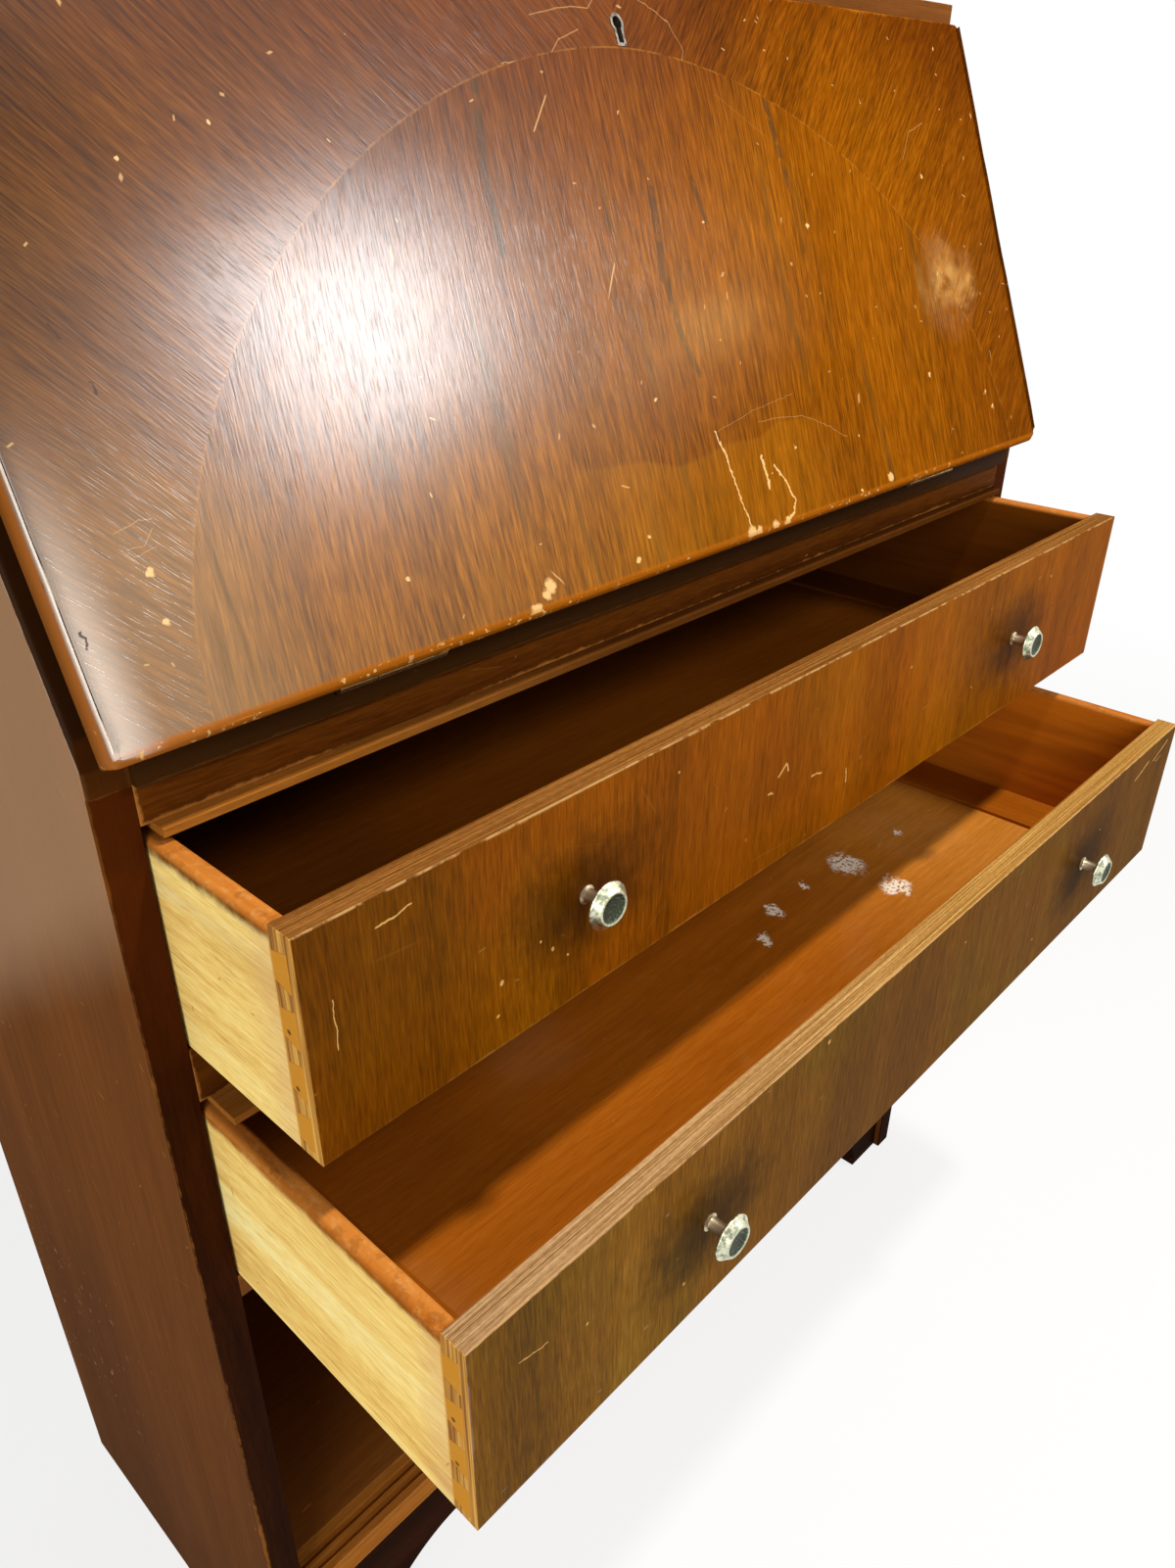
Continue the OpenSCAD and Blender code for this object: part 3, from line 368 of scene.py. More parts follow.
def boardFinish(name, wood, axis, box, seed, wear, extra):
    # polished board with lighter, rougher arrises, scratches and nicks
    look = woods[wood]
    finish = newFinish(name)
    spot = finish.spot()
    woodFigure(finish, grainFrame(finish, spot, axis), look, seed)
    blot = finish.noise(spot, 6, 3, 0.55, seed)
    finish.stain(finish.rise(blot, 0.45, 0.7) * look.get("blot", 0.3), (0.55, 0.50, 0.45))
    finish.rough = look["gloss"] + blot * 0.12
    finish.shine = look["shine"] * (0.5 + blot)
    ragged = raggedEdge(finish, spot)
    if wear:
        arris = edgeDistance(finish, spot, *box)
        patchy = finish.noise(spot, 13)
        rubbed = finish.drop(arris + (0.6 - ragged) * wear * 2.4 + (0.5 - patchy) * wear * 3, 0, wear)
        finish.paint(rubbed * 0.8, wornEdge)
        finish.rough = finish.rough + rubbed * 0.2
    long, short = (nicks(finish, spot, *boardMarks[kind]) for kind in ("long", "short"))
    marks = finish.least(long * 0.3 + short, 1.0) * 0.6
    finish.paint(marks, wornEdge)
    finish.height = finish.height - marks * 0.6
    if extra:
        extra(finish, spot, ragged)
    return polish(finish, finish.bump(finish.height, 0.00010, 0.7))


def edgeBox(node):
    low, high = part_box(node)
    return tuple(low), tuple(high)


def dress(piece, material):
    piece.data.materials.clear()
    piece.data.materials.append(material)


def soften(piece, width):  # a sawn solid gets the small rounding of a sanded board
    weld = piece.modifiers.new("weld", "WELD")
    weld.merge_threshold = 0.00001
    flat = piece.modifiers.new("flat", "DECIMATE")
    flat.decimate_type, flat.angle_limit = "DISSOLVE", math.radians(0.5)
    bevel = piece.modifiers.new("arris", "BEVEL")
    bevel.width, bevel.segments = width, 2
    bevel.limit_method, bevel.angle_limit = "ANGLE", math.radians(40)


# Boards of the case: marks of single boards first

sideShades = {
    "paintedSheen": (0.40, 0.235, 0.125), "low": (0.62, 0.62, 0.85), "scuff": (0.55, 0.40, 0.28),
    "slopedEdgeStainAndShade": (0.020, 0.007, 0.002), "arrisWearAndHighlight": (0.42, 0.31, 0.22), "front": (0.050, 0.014, 0.002),
}


def sideMarks(finish, spot, ragged):  # painted sheen high up, scuffs by the back
    x, y, z = finish.parts(spot)
    cloudy = finish.noise(spot, 5, 3)
    # painted sheen: a lighter, pinker band high on the left outside, where the side reflects the light
    paintedSheen = finish.rise(z + (y + 0.06) * 0.72 + (cloudy - 0.5) * 0.05, 0.655, 0.725)
    paintedSheen = paintedSheen * finish.drop(x, 0.0002 - halfWidth, 0.0014 - halfWidth)  # only on the left outside
    finish.paint(paintedSheen * 0.62, sideShades["paintedSheen"])
    # darker towards the bottom
    finish.stain(finish.drop(z, 0.10, 0.55) * 0.6, sideShades["low"])
    scuff = finish.rise(ragged, 0.62, 0.72) * finish.near(z, 0.22, 0.12) * finish.rise(y, 0.08, 0.16)
    finish.paint(scuff * 0.5, sideShades["scuff"])
    # sloped edge under the fall: its stain plus painted shade; outer arris: wear plus a painted highlight
    behind = (y - frontPlane) * math.sin(slope) - (z - deskLevel) * math.cos(slope)
    overDesk = finish.rise(z, deskLevel - 0.002, deskLevel)
    edge = finish.drop(behind, 0.0003, 0.0012) * overDesk
    finish.paint(edge * 0.95, sideShades["slopedEdgeStainAndShade"])
    outside = finish.rise(abs(x), halfWidth - 0.0009, halfWidth - 0.0003)
    bare = finish.near(behind, 0.0010, 0.0008) * outside * finish.rise(ragged, 0.40, 0.56)
    finish.paint(bare * overDesk * 0.7, sideShades["arrisWearAndHighlight"])
    finish.paint(finish.drop(y - frontPlane, 0.0003, 0.0010) * 0.85, sideShades["front"])
    finish.shine = finish.shine * (0.5 + paintedSheen) * (1 - finish.most(edge, bare) * 0.8)


def lippingMarks(finish, spot, ragged):  # reddish near the top, near black below
    z = finish.parts(spot)[2]
    finish.stain(1.0, (0.62, 0.60, 0.5))
    finish.paint(finish.rise(z + (ragged - 0.5) * 0.1, 0.50, 0.82) * 0.75, (0.075, 0.015, 0.0015))


def hingeEdgeShade(finish, spot, ragged):  # painted shade along the hinge edge, under the fall
    y = finish.parts(spot)[1]
    hingeShade = finish.drop(y - frontPlane + (ragged - 0.5) * 0.004, 0.008, 0.014)
    finish.paint(hingeShade * 0.85, (0.020, 0.008, 0.002))


def kickerMarks(finish, spot, ragged):  # darker except toward the left end
    x = finish.parts(spot)[0]
    finish.stain(finish.rise(x, -0.36, -0.05), (0.26, 0.22, 0.20))


def dimmed(amount):
    return lambda finish, spot, ragged: finish.stain(1.0, (amount, amount, amount))


# wood, grain axis, seed, width of the wear, rounding and own marks of each
boards = {
    "left_side": ("case", "z", (0.0, 0.0, 0.0), 0.0030, 0.0008, sideMarks),
    "right_side": ("case", "z", (3.0, 0.7, 0.0), 0.0030, 0.0008, sideMarks),
    "top_board": ("case", "x", (1.0, 2.0, 0.0), 0.0025, 0.0012, None),
    "desk_floor": ("case", "x", (2.0, 0.2, 0.0), 0.0015, 0.0006, hingeEdgeShade),
    "desk_rail": ("rail", "x", (0.0, 1.2, 0.3), 0.0020, 0.0005, None),
    "pigeonhole_shelf": ("case", "x", (5.0, 0.2, 0.0), 0.0015, 0.0006, None),
    "pigeonhole_uprights": ("case", "z", (6.0, 0.9, 0.0), 0, 0.0005, None),
    "upper_kicker": ("pale", "x", (0.0, 0.4, 0.6), 0, 0.0003, kickerMarks),
    "divider_rail": ("rail", "x", (4.0, 0.2, 0.1), 0.0020, 0.0005, None),
    "drawer_runners": ("raw", "y", (1.0, 0.0, 0.9), 0, 0.0004, None),
    "lower_kicker": ("pale", "x", (2.0, 1.4, 0.6), 0, 0.0003, kickerMarks),
    "drawer_stops": ("raw", "x", (0.4, 0.1, 0.2), 0, 0.0004, None),
    "cupboard_top": ("case", "x", (2.5, 0.8, 0.3), 0.0015, 0.0004, None),
    "cupboard_floor": ("case", "x", (3.5, 0.1, 0.7), 0, 0.0004, None),
    "door_rail": ("pale", "x", (1.5, 0.6, 0.2), 0.0018, 0.0004, None),
    "plinth_front": ("dark", "x", (0.5, 0.3, 0.9), 0.0015, 0.0006, dimmed(0.5)),
    "plinth_blocks": ("pale", "z", (0.2, 0.9, 0.4), 0, 0.0005, None),
    "stile_lippings": ("dark", "z", (0.1, 0.4, 0.2), 0.0012, 0.0004, lippingMarks),
    "back_panel": ("pale", "z", (0.6, 0.2, 0.1), 0, 0.0003, None),
}

for node, (wood, axis, seed, wear, rounding, extra) in boards.items():
    dress(nodes[node], boardFinish(node.replace("_", " "), wood, axis, edgeBox(node), seed, wear, extra))
    soften(nodes[node], rounding)
print("case boards finished")


# Drawers: veneered fronts, raw sides with a stained top edge, stained insides

drawerShades = {
    "smoke": (0.28, 0.30, 0.30), "olive": (0.96, 1.18, 1.0), "scars": (0.62, 0.36, 0.11),
    "grit": (0.45, 0.40, 0.35), "stainedBack": (0.26, 0.064, 0.004), "frontArris": (0.50, 0.30, 0.12),
    "endPlies": [(0.35, (0.220, 0.090, 0.018)), (0.5, (0.480, 0.230, 0.045)), (0.66, (0.680, 0.400, 0.090))],
    "stained": ((0.225, 0.060, 0.003), (0.31, 0.086, 0.004)),
    "rounded": ((0.36, 0.105, 0.010), (0.52, 0.185, 0.030)), "specks": (0.66, 0.36, 0.12),
    "rightRounded": (0.85, 0.80, 0.80), "yellowed": (0.62, 0.36, 0.20), "glue": (0.54, 0.23, 0.014),
    "pins": (0.06, 0.03, 0.01), "rubbed": (0.16, 0.045, 0.006),
    "paintedLightRight": (1.55, 2.15, 5.0), "paint": (0.90, 0.80, 0.66), "dust": (0.62, 0.36, 0.18),
}


def frontMarks(box, look):
    low, high = box

    def marks(finish, spot, ragged):
        x, y, z = finish.parts(spot)
        # mottled dark round the knobs and toward the left end
        knob = finish.measure("LENGTH", finish.vector(
            (abs(x) - knobOffset) * 0.7, 0.0, z - (low[2] + high[2]) / 2))
        smoky = finish.drop(knob + (ragged - 0.5) * 0.03, 0.006, 0.048) * 0.90
        end = finish.drop(abs(x + 0.34) + (ragged - 0.5) * 0.05, 0.0, 0.09) * 0.45
        finish.stain(finish.most(smoky, end), drawerShades["smoke"])
        finish.stain(1.0, look["base"])
        finish.stain(finish.drop(x, -0.42, look["reach"]), look["cast"])
        olive = finish.rise(finish.noise(spot, (7, 7, 5), 3, 0.6, (2.7, 0.4, 0)), 0.42, 0.62)
        finish.stain(olive * 0.7, drawerShades["olive"])
        flat = finish.vector(x + (ragged - 0.5) * 0.003, z + (ragged - 0.5) * 0.004, 0.0)
        outer = finish.drop(y, low[1] + 0.0004, low[1] + 0.0010)
        scars = marksAt(finish, flat, look["scars"], look["chips"]) * outer
        finish.paint(scars * 0.85, drawerShades["scars"])
        # plies of the core on the top edge, and their ends
        topFace = finish.reached(z, high[2])
        core = finish.ramp(finish.noise(spot, (7, 1500, 30), 3, 0.7), look["edge"])
        core = finish.tint(finish.drop(x, -0.42, 0.10), core, look["edgeCast"], "MULTIPLY")
        grit = finish.rise(finish.noise(spot, (260, 1100, 260)), 0.40, 0.62)
        finish.paint(topFace, finish.tint(grit * 0.35, core, drawerShades["grit"], "MULTIPLY"))
        endPlies = finish.noise(spot, (30, 700, 14), 2, 0.6, (0.3, 0, 0))
        finish.paint(finish.reached(abs(x), high[0]), finish.ramp(endPlies, drawerShades["endPlies"]))
        # the inside face of the front, darkened in the upper drawer as painted shade
        finish.paint(finish.reached(y, high[1]) * 0.85,
                     tuple(c * look["paintedLightLevel"] for c in drawerShades["stainedBack"]))
        # rubbed front arris of the top edge
        arris = finish.near(y, low[1], 0.0009) * finish.near(z, high[2], 0.0009)
        finish.paint(arris * finish.rise(ragged, 0.38, 0.56) * 0.8, drawerShades["frontArris"])
        finish.rough = finish.rough + topFace * 0.15
        finish.shine = finish.shine * (1 - finish.most(arris, topFace * 0.6))
    return marks


def sideFaces(box, hand, joint, paintedLightLevel):
    low, high = box
    outer = low[0] if hand == "left" else high[0]

    def marks(finish, spot, ragged):
        x, y, z = finish.parts(spot)
        # the outside was never stained, but stain ran over the rounded top
        stray = (ragged - 0.5) * 0.006
        bare = finish.near(x, outer, 0.0024) * finish.drop(z + stray, high[2] - 0.0085, high[2] - 0.0020)
        even = finish.noise(spot, (60, 6, 90), 3, 0.6)
        # the stained inside, scaled as painted shade in the upper drawer and as painted light on the lower
        # right side
        inside = [tuple(c * paintedLightLevel for c in shade) for shade in drawerShades["stained"]]
        stained = finish.tint(finish.rise(even, 0.3, 0.7), *inside)
        specks = finish.rise(finish.noise(spot, (300, 160, 300), 3, 0.7), 0.50, 0.66)
        rounded = finish.tint(finish.rise(even, 0.35, 0.65), *drawerShades["rounded"])
        rounded = finish.tint(specks * 0.25, rounded, drawerShades["specks"])
        if hand == "right":
            rounded = finish.tint(1.0, rounded, drawerShades["rightRounded"], "MULTIPLY")
        stained = finish.tint(finish.rise(z, high[2] - 0.0040, high[2] - 0.0010), stained, rounded)
        finish.paint(1 - bare, stained)
        yellowed = finish.drop(y + stray * 4, joint + 0.012, joint + 0.034) * bare
        finish.paint(yellowed * 0.35, drawerShades["yellowed"])
        glue = finish.drop(y, joint + 0.0095, joint + 0.0115) * bare
        finish.paint(glue * 0.92, drawerShades["glue"])
        pins = marksAt(finish, finish.vector(y, z, 0.0), places=[
            (joint + 0.006, low[2] + k * (high[2] - low[2]), 0.0016) for k in (0.32, 0.58)])
        finish.paint(pins * glue * 0.8, drawerShades["pins"])
        rubbed = finish.rise(z, high[2] - 0.0020, high[2] - 0.0008) * finish.rise(ragged, 0.56, 0.64)
        finish.paint(rubbed * 0.30, drawerShades["rubbed"])
    return marks


def floorMarks(paint):
    def marks(finish, spot, ragged):
        x, y = finish.parts(spot)[:2]
        flat = finish.vector(x + (ragged - 0.5) * 0.02, y + (ragged - 0.5) * 0.03, 0.0)
        # painted light: the floor lighter and paler toward the right
        finish.stain(finish.rise(x, 0.0, 0.33), drawerShades["paintedLightRight"])
        speckle = finish.rise(finish.noise(spot, 420), 0.36, 0.50)
        finish.paint(marksAt(finish, flat, places=paint) * speckle * 0.95, drawerShades["paint"])
        dusty = finish.rise(finish.noise(spot, 9, 3), 0.5, 0.7)
        finish.paint(dusty * 0.08, drawerShades["dust"])
        finish.rough = finish.rough + dusty * 0.1
    return marks


# drops of old paint on the lower drawer's floor: place and radius of each
lowerFrontFace = frontPlane - drawnOut["lower"]
paintSpots = [(0.160, lowerFrontFace + 0.153, 0.017), (0.160, lowerFrontFace + 0.110, 0.015),
              (0.069, lowerFrontFace + 0.157, 0.008), (0.036, lowerFrontFace + 0.143, 0.006),
              (0.230, lowerFrontFace + 0.150, 0.005), (0.112, lowerFrontFace + 0.160, 0.004)]

# base: colour of the face; cast: its colour toward the left end, out to reach; edge: plies of the top edge;
# edgeCast: their colour toward the left end; paintedLightLevel, right and back: how dark the inside, its
# right side and its back are painted, as painted shade inside the upper drawer and on the lower drawer's
# back, and as painted light on the lower drawer's right side; scars and chips: lines and round marks on the
# face
fronts = {
    "upper": {
        "base": (1, 1, 0.8), "cast": (0.76, 0.80, 0.8), "reach": 0.20, "edgeCast": (1.1, 1.1, 1.2),
        "paintedLightLevel": 0.50, "right": 0.50, "back": 1.0,
        "edge": [(0.34, (0.105, 0.036, 0.005)), (0.5, (0.195, 0.076, 0.013)), (0.66, (0.320, 0.145, 0.035))],
        "scars": [(0.0005, [(-0.3260, 0.7085), (-0.3180, 0.7090), (-0.3090, 0.7110)]),
                  (0.0003, [(-0.3475, 0.6880), (-0.3480, 0.6640)]),
                  (0.0009, [(-0.0640, 0.6680), (-0.0575, 0.6735), (-0.0550, 0.6690)]),
                  (0.0008, [(-0.0720, 0.6610), (-0.0680, 0.6600)]),
                  (0.0007, [(0.0070, 0.6460), (0.0085, 0.6370)]),
                  (0.0007, [(-0.0300, 0.6560), (-0.0200, 0.6540)])],
        "chips": [(-0.2341, 0.6489, 0.0014), (-0.2420, 0.6560, 0.0009), (-0.2656, 0.6470, 0.0014),
                  (-0.2250, 0.6400, 0.0010), (-0.2680, 0.6310, 0.0011), (0.0700, 0.6900, 0.0009),
                  (0.1600, 0.6480, 0.0010), (-0.1500, 0.7040, 0.0009), (0.2600, 0.7000, 0.0010)],
    },
    "lower": {
        "base": (0.52, 0.77, 2.2), "cast": (1.60, 1.75, 2.6), "reach": -0.05, "edgeCast": (0.95, 1.05, 2.0),
        "paintedLightLevel": 1.0, "right": 1.9, "back": 0.6,
        "edge": [(0.34, (0.210, 0.096, 0.018)), (0.5, (0.370, 0.190, 0.042)), (0.66, (0.600, 0.370, 0.110))],
        "scars": [(0.0009, [(0.2900, 0.5560), (0.3120, 0.5630)]),
                  (0.0009, [(0.3240, 0.5600), (0.3470, 0.5690)]),
                  (0.0005, [(0.3300, 0.5560), (0.3400, 0.5590)]),
                  (0.0004, [(-0.3350, 0.5450), (-0.3200, 0.5410)])],
        "chips": [(-0.2295, 0.4920, 0.0011), (-0.2960, 0.5300, 0.0010), (0.1460, 0.4900, 0.0010),
                  (0.0300, 0.5500, 0.0010), (-0.1200, 0.5700, 0.0014), (0.2350, 0.5380, 0.0009)],
    },
}


for drawer, seedBase in (("upper", 0.2), ("lower", 0.9)):
    look = fronts[drawer]
    frontBox = edgeBox(drawer + "_front")
    joint = frontBox[0][1] + 0.004  # the ends of the sides' tails, hidden behind the front's face
    paintedLightLevel = look["paintedLightLevel"]
    # the inside of each side: painted shade in the upper drawer, painted light on the lower drawer's right
    # side
    sides = {hand: sideFaces(edgeBox(drawer + "_" + hand + "_side"), hand, joint, dark)
             for hand, dark in (("left", paintedLightLevel), ("right", look["right"]))}
    plan = {
        "front": ("front", "z", 0.0015, frontMarks(frontBox, look)),
        "left_side": ("raw", "y", 0, sides["left"]),
        "right_side": ("raw", "y", 0, sides["right"]),
        "back": ("stain", "x", 0, dimmed(paintedLightLevel * look["back"])),
        "bottom_panel": ("stain", "x", 0, floorMarks(paintSpots) if drawer == "lower" else dimmed(paintedLightLevel)),
        "slips": ("stain", "y", 0, dimmed(paintedLightLevel)),
    }
    for part, (wood, axis, wear, extra) in plan.items():
        node = drawer + "_" + part
        seed = (len(node) * 0.37, len(part) * 0.61, seedBase)
        dress(nodes[node], boardFinish(node.replace("_", " "), wood, axis, edgeBox(node), seed, wear, extra))
        soften(nodes[node], 0.0004)
print("drawers finished")


# Fall: a core and three leaves of veneer, with a rounded and knocked rim

fallPlan = {
    "rim": {"side": 0.0022, "foot": 0.0055},  # radii of the outer arrises
    "corner": 0.003,        # radius of the corners
    "steps": 6,             # steps of each rounding
    "cell": 0.014,          # grid that carries the dents
    "columns": 26, "rows": 20, "firstRow": 0.012,  # of the grid: to either side, and up from the foot
    "knocks": 0.0004,       # depth of the dents
    "knockSize": 55,        # dents in a metre
    "sound": [(0.2845, 0.126, 0.052), (0.0294, 0.122, 0.058)],  # patches of whole polish on the right
    "archHalf": 0.335, "archHeight": 0.26066,
    "archFullness": 1.85,   # power of the arch's curve, where 2 is an ellipse
    # direction of the grain, in degrees from across
    "grain": {"veneer_arch": 85, "veneer_left": 133, "veneer_right": 43, "fall_panel": 0},
}
fallFrame = Matrix.Translation(hingeLine) @ Matrix.Rotation(slope, 4, "X")

# lines and places on the face: across and up the slope, in metres
fallStrokes = [
    (0.00075, [(-0.0027, 0.0629), (0.0011, 0.0481), (0.0041, 0.0289), (0.0069, 0.0155), (0.0104, 0.0030)]),
    (0.00130, [(0.0326, 0.0445), (0.0339, 0.0255)]),
    (0.00090, [(0.0426, 0.0371), (0.0499, 0.0260), (0.0548, 0.0146), (0.0507, 0.0084), (0.0426, 0.0030)]),
]
fallScratches = [
    (0.00022, [(0.0368, 0.0630), (0.0590, 0.0625), (0.0805, 0.0606), (0.1014, 0.0522), (0.1223, 0.0412)]),
    (0.00035, [(-0.0632, 0.2719), (-0.0410, 0.2770), (-0.0196, 0.2782), (-0.0080, 0.2880)]),
    (0.00035, [(-0.0310, 0.2674), (-0.0470, 0.2620), (-0.0577, 0.2525), (-0.0900, 0.2490)]),
    (0.00035, [(0.0180, 0.2870), (0.0420, 0.2760), (0.0500, 0.2620), (0.0460, 0.2560)]),
    (0.00016, [(-0.0026, 0.0629), (0.0360, 0.0700), (0.0760, 0.0740)]),
    (0.00030, [(0.2600, 0.2050), (0.2750, 0.2230), (0.2960, 0.2290)]),
    (0.00024, [(-0.3470, 0.0795), (-0.3409, 0.0812), (-0.3361, 0.0826), (-0.3310, 0.0820)]),
    (0.00022, [(-0.3440, 0.0735), (-0.3370, 0.0735), (-0.3319, 0.0790)]),
    (0.00020, [(-0.3420, 0.0705), (-0.3330, 0.0720)]),
]
fallChips = [
    (-0.3389, 0.0640, 0.0022), (-0.3400, 0.0455, 0.0020), (-0.2297, 0.0350, 0.0012),
    (-0.1518, 0.0128, 0.0042), (-0.1560, 0.0095, 0.0034), (-0.1640, 0.0034, 0.0044),
    (-0.0761, 0.0204, 0.0014), (-0.0884, 0.0109, 0.0022),
    (0.1623, 0.0088, 0.0036), (0.1267, 0.0067, 0.0015), (0.1331, 0.0030, 0.0015), (0.0904, 0.0025, 0.0018),
    (0.0082, 0.0040, 0.0050), (0.0150, 0.0036, 0.0038), (0.0314, 0.0040, 0.0040), (0.0429, 0.0038, 0.0036),
    (-0.0498, 0.0016, 0.0018), (-0.0668, 0.0010, 0.0018), (0.2368, 0.0659, 0.0017), (0.3107, 0.0445, 0.0016),
    (0.3170, 0.0336, 0.0016), (0.1354, 0.0396, 0.0011), (0.0663, 0.0437, 0.0015), (0.2810, 0.1940, 0.0018),
    (0.3320, 0.2790, 0.0014), (-0.2540, 0.2200, 0.0012), (-0.2966, 0.2069, 0.0010), (0.1312, 0.1679, 0.0018),
    (-0.0443, 0.0868, 0.0013), (0.0310, 0.1732, 0.0011), (-0.2045, 0.0669, 0.0011), (-0.3410, 0.2310, 0.0013),
]
fallDarkMarks = [
    (0.00110, [(-0.2353, 0.1411), (-0.2358, 0.1345)]), (0.00085, [(-0.2364, 0.1300), (-0.2366, 0.1284)]),
    (0.00060, [(-0.2403, 0.1539), (-0.2410, 0.1535)]), (0.00090, [(-0.2391, 0.1145), (-0.2380, 0.1130)]),
    (0.00070, [(-0.3427, 0.1531), (-0.3405, 0.1479)]), (0.00060, [(-0.3359, 0.1322), (-0.3340, 0.1278)]),
    (0.00060, [(-0.3700, 0.0500), (-0.3698, 0.0440)]), (0.00060, [(-0.2052, 0.1250), (-0.2052, 0.1244)]),
]
fallStreaks = [
    (0.0036, [(-0.1100, 0.2430), (-0.1160, 0.2200), (-0.1220, 0.1950), (-0.1240, 0.1650)]),
    (0.0036, [(0.1140, 0.2440), (0.1165, 0.2200), (0.1200, 0.1900)]),
    (0.0040, [(-0.0050, 0.1900), (-0.0080, 0.1650), (-0.0130, 0.1470)]),
    (0.0028, [(-0.0110, 0.1450), (-0.0090, 0.1150), (-0.0030, 0.0950)]),
    (0.0026, [(0.0330, 0.1960), (0.0360, 0.1700)]),
]

fallMarks = {  # as boardMarks
    "long": (16, 0.016, 0.00030, 0.35, (1.3, 2.2, 0.7)),
    "short": (60, 0.0012, 0.0005, 0.22, (4.1, 0.3, 1.9)),
}
fallShades = {
    # these multiply what is there
    # upper and leftEnd darken as painted shade, leftLow lightens as painted light
    "left": (0.73, 0.86, 3.4), "upper": (0.62, 0.52, 0.9), "rightEnd": (0.50, 0.42, 0.9),
    "leftEnd": (0.60, 0.60, 0.60), "leftLow": (1.38, 1.50, 1.0), "olive": (0.62, 0.72, 1.0),
    "archCentre": (1.18, 1.24, 1.2),
    # these lie over it
    "paintedReflection": (0.46, 0.31, 0.20), "veins": (0.070, 0.040, 0.008), "streaks": (0.045, 0.030, 0.012),
    "stain": (0.62, 0.25, 0.01), "glueLine": (0.50, 0.22, 0.03), "rubbed": (0.42, 0.15, 0.01),
    "core": ((0.20, 0.055, 0.003), (0.38, 0.108, 0.005)), "bright": (0.86, 0.80, 0.74),
    "scratches": (0.66, 0.40, 0.16), "darkMarks": (0.035, 0.016, 0.006),
}


def insideArch(x, s):
    full = fallPlan["archFullness"]
    return abs(x / fallPlan["archHalf"]) ** full + abs(s / fallPlan["archHeight"]) ** full < 1


def onPiece(part, place):  # whether a mark lies on this piece of the face
    if part == "veneer_arch":
        return insideArch(*place[:2])
    toward = {"veneer_left": -1, "veneer_right": 1}.get(part, 0)
    return place[0] * toward > 0 and not insideArch(*place[:2])


def archFigure(finish, x, s, cloudy, ragged):  # veins, streaks and the lighter middle of the arch
    soft = finish.vector(x + (cloudy - 0.5) * 0.02, s, 0.0)
    veins = finish.noise(soft, (46, 3.4, 1), 3, 0.6, (0.9, 0.2, 0))
    finish.paint(finish.rise(veins, 0.57, 0.69) * 0.55, fallShades["veins"])
    finish.stain(finish.near(x, 0.03, 0.12) * finish.near(s, 0.20, 0.07), fallShades["archCentre"])
    streaks = marksAt(finish, soft, fallStreaks) * finish.rise(ragged, 0.30, 0.50)
    finish.paint(streaks * 0.55, fallShades["streaks"])
    # an old pale stain near the lower edge
    patch = finish.drop(s + (cloudy - 0.5) * 0.09, 0.052, 0.055) * finish.near(x, -0.01, 0.13)
    finish.paint(patch * 0.10, fallShades["stain"])


